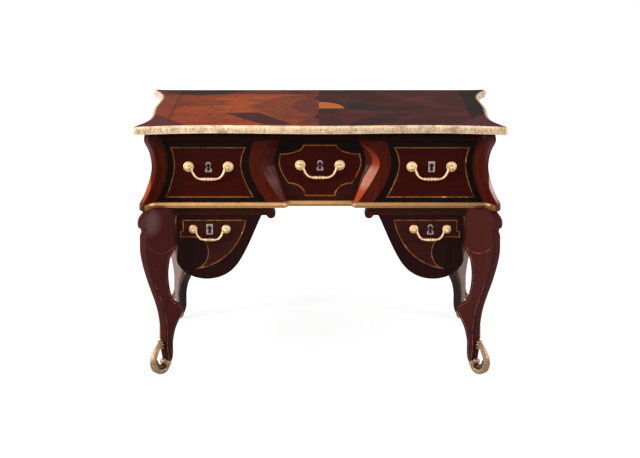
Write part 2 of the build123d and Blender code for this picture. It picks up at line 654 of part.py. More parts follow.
def bail(name, x, y, z, spacing, drop):
    """Swan-necked bail hanging from two pins at height z."""
    arm_x = spacing / 2 - KNOB_RADIUS - BAIL_RADIUS - BAIL_KNOB_GAP
    shoulder = (BAIL_SHOULDER[0] * arm_x, -BAIL_SHOULDER[1] * drop)
    with BuildPart(Plane.XZ.offset(-y)) as half:
        with BuildLine(Plane.XZ.offset(-y)) as path:
            Spline((arm_x, 0), shoulder, (BAIL_FLAT_SHARE * arm_x, -drop), (0, -drop),
                   tangents=((0.1, -1), (-1, 0)))
        with BuildSketch(Plane(origin=path.line @ 0, z_dir=path.line % 0)):
            Circle(BAIL_RADIUS)
        sweep(path=path.line)
        with Locations((arm_x, 0)):
            Sphere(BAIL_RADIUS)
        with Locations(((arm_x + spacing / 2 + PIN_REACH) / 2, 0)):
            Cylinder(PIN_RADIUS, spacing / 2 + PIN_REACH - arm_x, rotation=(0, 90, 0))
        with Locations((0, -drop)):
            Sphere(BAIL_BEAD_RADIUS)
        for place, share in BAIL_BEADS:
            with Locations((place * arm_x, -drop)):
                Sphere(share * BAIL_BEAD_RADIUS)
        mirror(about=Plane.YZ)
    with BuildPart() as whole:
        with Locations((x, 0, z)):
            add(half.part)
    finish(whole, name)


def fit_out(front, name, x, z, top_z, surface_y, back_y, spacing, rosette, drop, square):
    """Drill a drawer front and give it its pulls, bail, key plate and lock."""
    face_plane = Plane(origin=(x, surface_y, z), x_dir=(1, 0, 0), z_dir=(0, -1, 0))
    depth = back_y - surface_y
    places = [(-spacing / 2, 0), (spacing / 2, 0)]
    with BuildPart() as drilled:
        add(front.part)
        with BuildSketch(face_plane) as shank_holes:
            with Locations(*places):
                Circle(SHANK_RADIUS + HOLE_CLEARANCE)
        extrude(shank_holes.sketch, amount=-depth, mode=Mode.SUBTRACT)
        extrude(shank_holes.sketch, amount=ROSETTE_THICKNESS, mode=Mode.SUBTRACT)
        keyhole_cut(face_plane, depth, ROSETTE_THICKNESS)
    finish(drilled, f"{name}_front")

    stand = (Align.CENTER, Align.CENTER, Align.MIN)
    with BuildPart(face_plane) as hardware:
        for place in places:
            inwards = -1 if place[0] > 0 else 1
            with Locations((place[0], 0, -ROSETTE_THICKNESS)):
                Cylinder(rosette, 1.4 * ROSETTE_THICKNESS, align=stand)
            with Locations((place[0], 0, 0.4 * ROSETTE_THICKNESS)):
                Cone(rosette, 0.5 * rosette, 0.6 * ROSETTE_THICKNESS, align=stand)
            with Locations((place[0], 0, 0)):
                Cylinder(NECK_RADIUS, PIVOT_STANDOFF, align=stand)
            with Locations((place[0], 0, PIVOT_STANDOFF)):
                Sphere(KNOB_RADIUS)
            bore = KNOB_RADIUS + PIN_REACH + HOLE_CLEARANCE
            bore_middle = place[0] + inwards * (KNOB_RADIUS - PIN_REACH - HOLE_CLEARANCE) / 2
            with Locations((bore_middle, 0, PIVOT_STANDOFF)):
                Cylinder(PIN_RADIUS + PIN_CLEARANCE, bore, rotation=(0, 90, 0), mode=Mode.SUBTRACT)
        shank = depth + NUT_THICKNESS + 2
        for place in places:
            with Locations((place[0], 0, -shank)):
                Cylinder(SHANK_RADIUS, shank, align=stand)
            with Locations((place[0], 0, -depth - NUT_THICKNESS)):
                Cylinder(NUT_RADIUS, NUT_THICKNESS, align=stand)
    with BuildPart() as mounts:
        add(hardware.part)
        add(drilled.part, mode=Mode.SUBTRACT)
    finish(mounts, f"{name}_pull_mounts")

    with BuildPart() as lock:
        plate_plane = face_plane.offset(-ROSETTE_THICKNESS)
        with BuildSketch(plate_plane):
            add(key_plate_face(square))
        extrude(amount=ROSETTE_THICKNESS + KEY_PLATE_THICKNESS)
        add(drilled.part, mode=Mode.SUBTRACT)
        lock_top = top_z - GAP - LOCK_TOP_CLEARANCE
        block((x - LOCK_WIDTH / 2, x + LOCK_WIDTH / 2), (back_y, back_y + LOCK_DEPTH),
              (z - LOCK_BELOW_KEY, lock_top))
        block((x - BOLT_WIDTH / 2, x + BOLT_WIDTH / 2),
              (back_y + (LOCK_DEPTH - BOLT_THICKNESS) / 2, back_y + (LOCK_DEPTH + BOLT_THICKNESS) / 2),
              (lock_top, lock_top + BOLT_STICK_OUT))
        keyhole_cut(face_plane, depth + LOCK_DEPTH / 2, 2 * ROSETTE_THICKNESS)
    finish(lock, f"{name}_lock")
    bail(f"{name}_bail", x, surface_y - PIVOT_STANDOFF, z, spacing, drop)


for side, hand, square in ((1, "right", True), (-1, "left", False)):
    upper, lower = side_front, lower_front
    if side < 0:
        upper, lower = flipped(side_front, Plane.YZ), flipped(lower_front, Plane.YZ)
    fit_out(upper, f"upper_drawer_{hand}", side * SIDE_DRAWER_X, PULL_HEIGHT, FRIEZE_Z,
            front_y(PULL_HEIGHT), SIDE_FRONT_BACK_Y, PULL_SPACING, ROSETTE_RADIUS, BAIL_DROP, square)
    fit_out(lower, f"lower_drawer_{hand}", side * LOWER_DRAWER_X, LOWER_PULL_HEIGHT, LOWER_TOP_Z,
            LOWER_FRONT_Y, LOWER_FRONT_BACK_Y, LOWER_PULL_SPACING, LOWER_ROSETTE_RADIUS, LOWER_BAIL_DROP,
            not square)
    drawer_box(f"upper_drawer_{hand}_box", sorted(side * x for x in SIDE_BOX_X),
               (SIDE_FRONT_BACK_Y, UPPER_BOX_BACK_Y), UPPER_BOX_Z)
    drawer_box(f"lower_drawer_{hand}_box", sorted(side * x for x in LOWER_BOX_X),
               (LOWER_FRONT_BACK_Y, LOWER_BOX_BACK_Y), LOWER_BOX_Z)
fit_out(middle_front, "middle_drawer", 0, PULL_HEIGHT, FRIEZE_Z, front_y(PULL_HEIGHT) + RECESS_DEPTH,
        MIDDLE_FRONT_BACK_Y, PULL_SPACING, ROSETTE_RADIUS, BAIL_DROP, False)
drawer_box("middle_drawer_box", (-MIDDLE_BOX_HALF, MIDDLE_BOX_HALF), (MIDDLE_FRONT_BACK_Y, UPPER_BOX_BACK_Y),
           UPPER_BOX_Z)

# ------------------------------------------------------------------ guides and bolt mortises
GUIDE_Y = (WAIST_FRONT_Y + POST_DEPTH, INSIDE_BACK_Y)
with BuildPart() as drawer_guides:
    for edge, outwards in ((MIDDLE_BOX_HALF, 1), (SIDE_BOX_X[0], -1), (SIDE_BOX_X[1], 1)):
        near = edge + outwards * GUIDE_GAP
        block(sorted((near, near + outwards * GUIDE_SIZE)), GUIDE_Y, (CASE_BASE_Z, CASE_BASE_Z + GUIDE_SIZE))
    mirror(about=Plane.YZ)
finish(drawer_guides, "drawer_guides")


def mortised(rail, places, z):
    """Copy of a rail with the mortises that take the drawers' lock bolts when they are thrown."""
    with BuildPart() as cut:
        add(rail.part)
        with Locations(*[(x, back_y + LOCK_DEPTH / 2, z) for x, back_y in places]):
            Box(BOLT_WIDTH + 2 * MORTISE_CLEARANCE, BOLT_THICKNESS + 2 * MORTISE_CLEARANCE, 2 * MORTISE_DEPTH,
                mode=Mode.SUBTRACT)
    return cut


finish(mortised(frieze_rail, [(0, MIDDLE_FRONT_BACK_Y), (SIDE_DRAWER_X, SIDE_FRONT_BACK_Y),
                              (-SIDE_DRAWER_X, SIDE_FRONT_BACK_Y)], FRIEZE_Z), "frieze_rail")
finish_pair(mortised(lower_rail, [(LOWER_DRAWER_X, LOWER_FRONT_BACK_Y)], LOWER_TOP_Z), "lower_rail")
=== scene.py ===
"""Dresses a bureau mazarin: marquetry top, gilt edges, veneered case, cabriole legs, scroll feet and pulls.

Metres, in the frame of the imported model: +Z is up and the desk's front faces -Y.
"""

import math

import bmesh
import bpy
import numpy as np
from bpy.props import FloatProperty, FloatVectorProperty, PointerProperty
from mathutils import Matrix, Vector
from mathutils.geometry import interpolate_bezier


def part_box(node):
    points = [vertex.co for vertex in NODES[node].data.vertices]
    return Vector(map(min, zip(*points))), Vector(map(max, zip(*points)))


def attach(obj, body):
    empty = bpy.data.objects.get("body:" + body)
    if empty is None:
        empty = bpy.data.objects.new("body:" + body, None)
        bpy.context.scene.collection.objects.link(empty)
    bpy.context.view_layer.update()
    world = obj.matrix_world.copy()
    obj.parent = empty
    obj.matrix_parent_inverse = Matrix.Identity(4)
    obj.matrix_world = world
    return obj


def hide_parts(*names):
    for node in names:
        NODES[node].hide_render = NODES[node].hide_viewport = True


bl_info = {
    "name": "Bureau Mazarin",
    "version": (1, 0, 0),
    "blender": (4, 5, 0),
    "location": "View3D > Sidebar > Desk",
    "description": "Dresses a waisted kneehole desk with marquetry, gilt edges, cabriole legs and pulls",
    "category": "Object",
}

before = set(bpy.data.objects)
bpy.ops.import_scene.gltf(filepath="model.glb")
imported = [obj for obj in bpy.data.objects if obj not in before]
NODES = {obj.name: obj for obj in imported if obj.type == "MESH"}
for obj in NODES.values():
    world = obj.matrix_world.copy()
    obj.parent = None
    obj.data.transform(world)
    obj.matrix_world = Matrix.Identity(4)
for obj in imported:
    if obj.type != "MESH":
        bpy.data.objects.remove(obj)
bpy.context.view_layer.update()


# ------------------------------------------------------------------ levels and outline of the carcase
HALF_WIDTH = 0.560
HALF_DEPTH = 0.325
TOP_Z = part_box("top_panel")[1].z
CASE_TOP_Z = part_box("top_panel")[0].z
FRIEZE_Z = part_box("inner_stile_left")[1].z
CASE_BASE_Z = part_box("base_board")[1].z
UNDERSIDE_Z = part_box("base_board")[0].z
WAIST_HEIGHT = 0.113
WAIST_Z = CASE_BASE_Z + WAIST_HEIGHT
DRAWER_OUTER_X = 0.464
DRAWER_INNER_X = 0.217
LEG_X = 0.480
LEG_Y = 0.250
TOP_EDGE_WIDTH = 0.014
TOP_CORNER_RADIUS = 0.010
TOP_CORNER_TRIM = 0.008
DIAGONAL = math.sqrt(0.5)
MERGE = 1e-6
HANDS = (("left", -1), ("right", 1))
CORNERS = [(f"{end}_{hand}", side, fore) for end, fore in (("front", -1), ("rear", 1))
           for hand, side in HANDS]
DRAWERS = ("upper_drawer_left", "middle_drawer", "upper_drawer_right", "lower_drawer_left",
           "lower_drawer_right")
MIRRORED = np.array((-1, 1))


def tint(red, green, blue):
    """Scene colour of a screen colour given as 0 to 255."""
    return tuple((c / 12.92 if c <= 0.04045 else ((c + 0.055) / 1.055) ** 2.4)
                 for c in (red / 255, green / 255, blue / 255))


# ------------------------------------------------------------------ what a user may change
def colour(name, description, shade):
    return FloatVectorProperty(name=name, description=description, subtype="COLOR", size=3, min=0, max=1,
                               default=tint(*shade))


def wattage(name, description, default):
    return FloatProperty(name=name, description=description, default=default, min=0, unit="POWER")


def distance(name, description, default, **limits):
    return FloatProperty(name=name, description=description, default=default, unit="LENGTH", **limits)


class DESK_PG_woods(bpy.types.PropertyGroup):
    """Colours of the woods."""

    rosewood: colour("Rosewood", "Middle tone of the veneer on the case", (72, 22, 11))
    panel: colour("Drawer panel", "Middle tone of the panels inside the stringing", (51, 11, 6))
    ebony: colour("Dark border", "Borders round the drawer panels", (17, 9, 6))
    leg: colour("Leg", "Middle tone of the legs", (68, 24, 19))
    bright: colour("Bright field", "Left half of the marquetry top", (163, 73, 36))
    dusk: colour("Dark field", "Right half of the marquetry top", (68, 32, 28))
    stringing: colour("Stringing", "Light lines round the panels", (134, 80, 38))
    oak: colour("Oak", "Drawer linings and guides", (164, 122, 80))


class DESK_PG_gilding(bpy.types.PropertyGroup):
    """Colours and carving of the gilt work."""

    pale: colour("Pale gilding", "Carved edge of the top", (240, 210, 172))
    amber: colour("Amber gilding", "Waist moulding", (202, 152, 95))
    feet: colour("Foot gilding", "Scroll feet and their trims", (139, 107, 76))
    brass: colour("Gilt brass", "Pulls and bails", (235, 193, 148))
    plate: colour("Key plate", "Key plates and locks", (166, 148, 140))
    leaf_pitch: distance("Leaf pitch", "Length of one carved leaf of the top's edge", 0.0125,
                         min=0.006, max=0.03)
    leaf_depth: distance("Leaf depth", "How deep the leaves are cut", 0.0017, min=0, max=0.003)


class DESK_PG_stage(bpy.types.PropertyGroup):
    """Light and camera."""

    key_power: wattage("Key light", "Power of the large lamp on the left", 60.0)
    fill_power: wattage("Fill light", "Power of the lamp on the right", 34.0)
    top_power: wattage("Top light", "Power of the lamp overhead", 26.0)
    side_power: wattage("Side light", "Power of the lamp at the left; the right has less", 85.0)
    sky: FloatProperty(name="Sky", description="Strength of the even light all round", default=0.30, min=0)
    camera_height: distance("Camera height", "Above the floor", 1.703)
    camera_distance: distance("Camera distance", "In front of the desk's middle", 4.809)
    camera_tilt: FloatProperty(name="Camera tilt", description="From straight down",
                               default=math.radians(74.819), subtype="ANGLE")
    lens: FloatProperty(name="Focal length", description="In millimetres", default=86.23)


GROUPS = {"desk_woods": DESK_PG_woods, "desk_gilding": DESK_PG_gilding, "desk_stage": DESK_PG_stage}


# ------------------------------------------------------------------ shader maths
class Field:
    """A value that varies over a surface: a node's socket on which Python's operators make Math nodes."""

    def __init__(self, tree, socket):
        self.tree = tree
        self.socket = socket

    def math(self, operation, *values):
        node = self.tree.nodes.new("ShaderNodeMath")
        node.operation = operation
        for place, value in enumerate(values):
            plug(self.tree, node.inputs[place], value)
        return Field(self.tree, node.outputs[0])

    def __add__(self, other):
        return self.math("ADD", self, other)

    def __sub__(self, other):
        return self.math("SUBTRACT", self, other)

    def __rsub__(self, other):
        return self.math("SUBTRACT", other, self)

    def __mul__(self, other):
        return self.math("MULTIPLY", self, other)

    def __truediv__(self, other):
        return self.math("DIVIDE", self, other)

    def __pow__(self, other):
        return self.math("POWER", self, other)

    def __abs__(self):
        return self.math("ABSOLUTE", self)

    def __neg__(self):
        return 0.0 - self

    __radd__ = __add__
    __rmul__ = __mul__


def plug(tree, socket, value):
    """Give a socket a link or a plain value."""
    if isinstance(value, Field):
        tree.links.new(value.socket, socket)
    elif socket.type == "RGBA":
        socket.default_value = (*value[:3], 1)
    else:
        socket.default_value = value


def least(first, *others):
    """The least of a field and of other fields or numbers."""
    for other in others:
        first = first.math("MINIMUM", first, other)
    return first


def most(first, *others):
    """The greatest of a field and of other fields or numbers."""
    for other in others:
        first = first.math("MAXIMUM", first, other)
    return first


def edge(value, at, soft=0.0004):
    """0 below a value and 1 above it, with a short soft step."""
    share = (value - at) / soft + 0.5
    return most(least(share, 1.0), 0.0)


def band(value, low, high, soft=0.0004):
    """1 between two values."""
    return least(edge(value, low, soft), 1 - edge(value, high, soft))


def between(value, low, high):
    """How far a value lies inside two bounds."""
    return least(high - value, value - low)


def inside(x, y, corners):
    """How far a point lies inside a convex polygon."""
    turn = sum(ax * by - bx * ay for (ax, ay), (bx, by) in zip(corners, corners[1:] + corners[:1]))
    if turn < 0:
        corners = corners[::-1]
    depth = None
    for (ax, ay), (bx, by) in zip(corners, corners[1:] + corners[:1]):
        length = math.hypot(bx - ax, by - ay)
        side = (x - ax) * ((ay - by) / length) + (y - ay) * ((bx - ax) / length)
        depth = side if depth is None else least(depth, side)
    return depth


def inside_oval(x, y, centre, radii):
    """About how far a point lies inside an ellipse."""
    across, up = (x - centre[0]) / radii[0], (y - centre[1]) / radii[1]
    reach = (across ** 2 + up ** 2) ** 0.5
    slope = ((across / radii[0]) ** 2 + (up / radii[1]) ** 2) ** 0.5
    return (1 - reach) * reach / most(slope, 0.001)


class Finish:
    """A material in the making: its nodes and its Principled shader."""

    def __init__(self, name, **constants):
        self.material = bpy.data.materials.new(name)
        self.material.use_nodes = True
        self.tree = self.material.node_tree
        self.shader = self.tree.nodes["Principled BSDF"]
        self.place = self.node("TexCoord", {}, output="Object")
        for socket, value in constants.items():
            self.shader.inputs[socket.replace("_", " ")].default_value = value

    def node(self, kind, inputs, output=0, stops=(), **settings):
        """A node's output that is used; inputs are the values or links of its sockets."""
        node = self.tree.nodes.new("ShaderNode" + kind)
        for name, value in settings.items():
            setattr(node, name, value)
        for number, (position, shade) in enumerate(stops):
            elements = node.color_ramp.elements
            element = elements[number] if number < 2 else elements.new(position)
            element.position = position
            element.color = (*shade, 1)
        for name, value in inputs.items():
            plug(self.tree, node.inputs[name], value)
        return Field(self.tree, node.outputs[output])

    def axes(self, vector=None):
        """X, Y and Z of a vector, by default the place on the object."""
        split = self.node("SeparateXYZ", {0: vector or self.place})
        return [Field(self.tree, socket) for socket in split.socket.node.outputs]

    def mix(self, share, first, second, blend="MIX"):
        return self.node("Mix", {0: share, 6: first, 7: second}, 2, data_type="RGBA", blend_type=blend)

    def lay(self, ground, *coats):
        """A colour with further coats over it, each a share and a shade."""
        for share, shade in coats:
            ground = self.mix(share, ground, shade)
        return ground

    def mark(self, name):
        """What the mesh's layer of that name says."""
        return self.node("Attribute", {}, "Fac", attribute_name=name)

    def noise(self, vector, scale, detail=3.0, rough=0.55, wild=0.0):
        return self.node("TexNoise", {"Vector": vector, "Scale": scale, "Detail": detail, "Roughness": rough,
                                      "Distortion": wild})

    def laid(self, grain, turn=(0, 0, 0)):
        """Place along the grain, in units of the figure's length and breadth."""
        return self.node("Mapping", {"Vector": self.place, "Rotation": turn, "Scale": grain},
                         vector_type="TEXTURE")

    def set(self, **links):
        for socket, value in links.items():
            plug(self.tree, self.shader.inputs[socket.replace("_", " ")], value)

    def bump(self, height, depth, strength=1.0):
        self.set(Normal=self.node("Bump", {"Height": height, "Distance": depth, "Strength": strength}))


def shades(middle, spread):
    """Ramp stops from dark to light about a middle tone."""
    tones = ((0.30, 1 - spread), (0.44, 1 - 0.35 * spread), (0.56, 1.0), (0.70, 1 + 0.55 * spread))
    return tuple((at, tuple(min(1.0, share * c) for c in middle)) for at, share in tones)


def timber(finish, middle, turn=(0, 0, 0), length=0.22, breadth=0.016, spread=0.55, wild=0.9):
    """Colour of a leaf of veneer: broad figure, fine streaks and pores drawn out along the grain."""
    figure = finish.noise(finish.laid((length, breadth, breadth), turn), 1.0, 5.0, 0.6, wild)
    streaks = finish.noise(finish.laid((length * 0.4, breadth * 0.14, breadth * 0.14), turn), 1.0, 3.0, 0.6)
    return finish.node("ValToRGB", {"Fac": figure * 0.66 + streaks * 0.34}, stops=shades(middle, spread))


def grained(finish, turn=(0, 0, 0), depth=0.00012, low=0.24, high=0.40):
    """Roughness that wanders a little and the open pores of the wood."""
    pores = finish.noise(finish.laid((0.02, 0.0007, 0.0007), turn), 1.0, 2.0, 0.7)
    haze = finish.noise(finish.place, 9.0, 3.0)
    finish.set(Roughness=low + (high - low) * haze)
    finish.bump(pores, depth, 0.35)


UPRIGHT = (0, math.pi / 2, 0)
CROSSWISE = (0, 0, math.pi / 2)
WOOD = {"Specular_IOR_Level": 0.03}
WAXED = {"Specular_IOR_Level": 0.05}


def woods():
    return bpy.context.scene.desk_woods


def gilding():
    return bpy.context.scene.desk_gilding


# ------------------------------------------------------------------ shape of the case, its inlays and its painted highlights
# stringing of the upper side drawers: levels; its inset from the drawer's edges at the waist, rise and fall
SIDE_STRING_LEVELS = (0.5705, 0.7215)
SIDE_STRING_OUTER = (0.022, 0.017, 0.034)
SIDE_STRING_INNER = (0.027, 0.030, 0.048)
# stringing of the middle drawer: levels, widest place, how far and over what height its sides draw in
CARTOUCHE_LEVELS = (0.5700, 0.7245)
CARTOUCHE_WIDEST = (0.1235, 0.672)
CARTOUCHE_BELOW = (0.0285, 0.065)
CARTOUCHE_ABOVE = (0.004, 0.023)
CARTOUCHE_SCOOPS = (((0.1195, 0.7265), (0.0710, 0.0315)), ((0.0965, 0.5665), (0.0530, 0.0420)))
# inlay of the pendant fronts: bounds across and up of a bar and of its step, then ovals that cut the horn
PENDANT_BARS = (((0.228, 0.4205), (0.4405, 0.4905)), ((0.300, 0.4290), (0.4405, 0.4550)))
PENDANT_SWEEP = ((0.4010, 0.5310), (0.1740, 0.1930))
PENDANT_HORN_BACK = ((0.3980, 0.3905), (0.0540, 0.0585))
PENDANT_HORN_END, PENDANT_HORN_TOP = 0.3820, 0.4500
# arrises of the stiles' bevels: distance from the middle at the waist, then rise, fall and their powers
BEVEL_FRONT = (0.181, 0.080, 0.066, 2.4, 1.25)
BEVEL_RECESS = (0.140, 0.045, 0.039, 2.0, 1.1)
BEVEL_SHARE, BEVEL_MORE_BELOW, BEVEL_WIDENS_Z = 0.45, 0.36, 0.655
CORNER_INNER, CORNER_RISE, CORNER_FALL = 0.499, 0.018, 0.041
CORNER_LEAN, CORNER_LEAN_Z, CORNER_TOP_Z = 0.30, 0.604, 0.640


def swell(z, rise, fall, rise_power=2.0, fall_power=1.6):
    """How far an edge of the case stands away, at height z, from where it is at the waist."""
    above = least(most(z - WAIST_Z, 0.0) / (FRIEZE_Z - WAIST_Z), 1.0)
    below = most(WAIST_Z - z, 0.0) / WAIST_HEIGHT
    return rise * above ** rise_power + fall * below ** fall_power


def upper_panel(x, z):
    """How far a point lies inside the stringing of an upper side drawer."""
    (outer, *outer_curve), (inner, *inner_curve) = SIDE_STRING_OUTER, SIDE_STRING_INNER
    return least(between(x, DRAWER_INNER_X + inner - swell(z, *inner_curve),
                         DRAWER_OUTER_X - outer + swell(z, *outer_curve)), between(z, *SIDE_STRING_LEVELS))


def cartouche(x, z):
    """How far a point lies inside the stringing of the middle drawer: waved sides and scooped corners."""
    widest, level = CARTOUCHE_WIDEST
    (low_in, low_reach), (high_in, high_reach) = CARTOUCHE_BELOW, CARTOUCHE_ABOVE
    side = (widest - low_in * (most(level - z, 0.0) / low_reach) ** 1.7
            - high_in * most(z - level, 0.0) / high_reach)
    return least(between(z, *CARTOUCHE_LEVELS), side - x,
                 *[-inside_oval(x, z, *scoop) for scoop in CARTOUCHE_SCOOPS])


def pendant(x, z):
    """How far a point lies inside the inlay of a pendant front: a bar at its top over a curved horn."""
    bar = most(*[least(between(x, *across), between(z, *up)) for across, up in PENDANT_BARS])
    sweep_in = inside_oval(x, z, *PENDANT_SWEEP)
    horn_back = -inside_oval(x, z, *PENDANT_HORN_BACK)
    horn = least(sweep_in, horn_back, PENDANT_HORN_END - x, PENDANT_HORN_TOP - z)
    return most(least(bar, sweep_in), horn)


def bevel_highlight(x, z):
    """How far a point lies inside the painted highlight on the stiles' bevels, which widens below the waist.
    """
    outer, inner = (at - swell(z, *curve) for at, *curve in (BEVEL_FRONT, BEVEL_RECESS))
    share = BEVEL_SHARE + BEVEL_MORE_BELOW * (1 - edge(z, BEVEL_WIDENS_Z, 0.06))
    return between(x, outer - share * (outer - inner), outer + 0.0012)


def corner_highlight(x, z):
    """How far a point lies inside the painted highlight on the posts' canted corners, which starts at the
    waist.
    """
    arris = CORNER_INNER + swell(z, CORNER_RISE, CORNER_FALL) + CORNER_LEAN * most(z - CORNER_LEAN_Z, 0.0)
    return least(x - arris, CORNER_TOP_Z - z)


# ------------------------------------------------------------------ finishes of the woods
STRING_WORN, STRING_BRIGHT = 0.30, 3.2  # of the stringing's tone
SIDE_FIELD_DEPTH, SIDE_FIELD_LEVELS = 0.172, (0.574, 0.742)


def veneer_finish(name, middle, depth_of, border, string_width, low_border=None):
    """Veneered board with a dark border outside and a panel inside a line of stringing; painted shade
    darkens the panel's top.
    """
    finish = Finish(name, **WOOD)
    x, _, z = finish.axes()
    depth = depth_of(abs(x), z)
    dark = timber(finish, border, UPRIGHT, spread=0.45)
    # painted shade: the middle drawer's border is darker above, at the top of its recess
    if low_border:
        dark = finish.mix(edge(z, 0.655, 0.12), timber(finish, low_border, spread=0.6), dark)
    # painted shade: the panel darkens towards its top
    panel = finish.mix(edge(z, 0.715, 0.06) * 0.4, timber(finish, middle, spread=0.42), tint(34, 8, 5))
    rubbed = finish.noise(finish.place, 30.0, 4.0, 0.75)
    worn, bright = (tuple(share * c for c in woods().stringing) for share in (STRING_WORN, STRING_BRIGHT))
    line = finish.lay(worn, (edge(rubbed, 0.46, 0.16), woods().stringing),
                      (edge(rubbed, 0.635, 0.06), bright))
    finish.set(Base_Color=finish.lay(dark, (edge(depth, 0.0), panel),
                                     (band(depth, -string_width, 0.0), line)))
    grained(finish)
    return finish.material


def case_finish(name, strip=None, highlight_ramp=()):
    """Upright rosewood of the posts and stiles, with painted shadow under the top and a painted highlight
    where strip says: its colours go by height.
    """
    finish = Finish(name, **WOOD)
    x, _, z = finish.axes()
    # painted highlight: a mauve sheen high on the front posts' outer corners
    hollow = band(abs(x), 0.508, 0.60, 0.02) * band(z, 0.684, 0.752, 0.03)
    wood = finish.lay(timber(finish, woods().rosewood, UPRIGHT, length=0.20, breadth=0.010, spread=0.62),
                      # painted shadow of the top: darker towards the frieze, then a near-black line just
                      # under the top
                      (edge(z, FRIEZE_Z - 0.006, 0.03) * 0.55, tint(34, 12, 11)),
                      (edge(z, CASE_TOP_Z - 0.013, 0.006) * 0.8, tint(8, 5, 5)),
                      (hollow * 0.5, tint(92, 62, 64)))
    if strip:
        height = (z - CASE_BASE_Z) / (FRIEZE_Z - CASE_BASE_Z)
        light = finish.node("ValToRGB", {"Fac": height}, stops=[(at, tint(*shade)) for at, shade in highlight_ramp])
        grain = timber(finish, (0.62, 0.62, 0.62), CROSSWISE, length=0.05, breadth=0.006, spread=0.6)
        depth = strip(abs(x), z)
        # painted highlight: the lit strip takes the ramp's colours crossed by grain, with a dark line along
        # its edge
        wood = finish.lay(wood, (band(depth, -0.0016, 0.0, 0.0008) * 0.6, tint(30, 12, 10)),
                          (edge(depth, 0.0, 0.0010), finish.mix(0.75, light, grain, "MULTIPLY")))
    finish.set(Base_Color=wood)
    grained(finish, UPRIGHT, low=0.2, high=0.34)
    return finish.material


def frieze_finish():
    """Frieze and lower rails: dark red, with painted shadow as a near-black line along the upper edge."""
    finish = Finish("dark_rail", **WOOD)
    _, _, z = finish.axes()
    low = timber(finish, tint(56, 24, 15), length=0.12, breadth=0.010, spread=0.7, wild=1.6)
    high = timber(finish, tint(30, 8, 6), spread=0.45)
    finish.set(Base_Color=finish.lay(low, (edge(z, 0.65, 0.01), high),
                                     # painted shadow of the top's overhang
                                     (edge(z, CASE_TOP_Z - 0.014, 0.004), tint(8, 6, 5))))
    grained(finish)
    return finish.material


def plain_finish(name, middle, turn=(0, 0, 0), specular=0.12, low=0.45, high=0.65):
    """Plain boards that aren't veneered or polished."""
    finish = Finish(name, Specular_IOR_Level=specular)
    finish.set(Base_Color=timber(finish, middle, turn, length=0.35, breadth=0.02, spread=0.35, wild=0.5))
    grained(finish, turn, 0.0003, low, high)
    return finish.material


def side_finish():
    """Side panels: rosewood inside a stringing line and a dark crossband."""
    finish = Finish("side_rosewood", **WOOD)
    _, y, z = finish.axes()
    depth = least(SIDE_FIELD_DEPTH - abs(y), between(z, *SIDE_FIELD_LEVELS))
    finish.set(Base_Color=finish.lay(
        timber(finish, woods().ebony, UPRIGHT, spread=0.4),
        (edge(depth, 0.0), timber(finish, woods().rosewood, CROSSWISE, spread=0.5)),
        (band(depth, -0.003, 0.0), woods().stringing)))
    grained(finish)
    return finish.material


KNEE_LINE = (0.3950, 0.105, 0.40)  # level of the stringing across the knee, its sag and its lowest place
LEG_STRINGS = (("from_inner", 0.0080, 0.0093, 0.402, 0.001), ("from_outer", 0.0052, 0.0064, 0.300, 0.02))
KNEE_HIGHLIGHT = ((-0.512, 0.500), (0.030, 0.046))


def leg_finish():
    """Legs: dark rosewood with worn stringing along the inner outline, the arris and across the knee;
    painted sheen on the rear legs, painted highlights on the front knees and outer arrises, painted shade on
    their outer faces.
    """
    finish = Finish("leg_rosewood", **WAXED)
    x, y, z = finish.axes()
    along = finish.mark("along_depth")
    rubbed = finish.noise(finish.place, 60.0, 3.0, 0.7)
    level, sag, lowest = KNEE_LINE
    knee = band(z - level - sag * (along - lowest) ** 2, 0.0, 0.0013, 0.0006) * band(along, 0.03, 0.97, 0.02)
    strings = [band(finish.mark(name), near, far, 0.0006) * (1 - edge(z, top, soft))
               for name, near, far, top, soft in LEG_STRINGS]
    lines = most(*strings, knee) * edge(1 - rubbed, 0.50, 0.16)
    facing = finish.axes(finish.node("NewGeometry", {}, "Normal"))[0] * x / most(abs(x), 0.001)
    rear = edge(y, 0.0, 0.01)
    front = 1 - rear
    # painted reflection: a grey sheen on the rear legs, pale on their outward faces, giving way to dark wood
    # above the knee
    painted_sheen = finish.lay(tint(48, 44, 42),
                       (edge(facing, 0.3, 0.3) * edge(along, 0.36, 0.24), tint(140, 120, 115)),
                       (edge(z, 0.268, 0.05), tint(42, 20, 17)))
    # painted highlight: a mauve sheen on the front legs' knees
    knee_highlight = edge(inside_oval(x, z, *KNEE_HIGHLIGHT), 0.010, 0.026)
    # painted highlight: a thin orange rim along the front legs' outer arris, broken up by noise
    rim_highlight = edge(finish.mark("outer_arris"), 0.55, 0.5) * front * edge(rubbed, 0.36, 0.2)
    finish.set(Base_Color=finish.lay(
        timber(finish, woods().leg, UPRIGHT, length=0.18, breadth=0.012, spread=0.42),
        (edge(-z, -0.16, 0.14) * 0.35, tint(34, 15, 13)),
        (rear * 0.8, painted_sheen),
        (knee_highlight * front * 0.46, tint(122, 92, 94)),
        # painted shade on the front legs' outer faces
        (edge(along, 0.985, 0.02) * front * 0.72, tint(40, 13, 10)),
        (rim_highlight * 0.8, tint(150, 62, 34)),
        (lines * 0.75, tint(178, 122, 100))))
    grained(finish, UPRIGHT, low=0.50, high=0.66)
    return finish.material


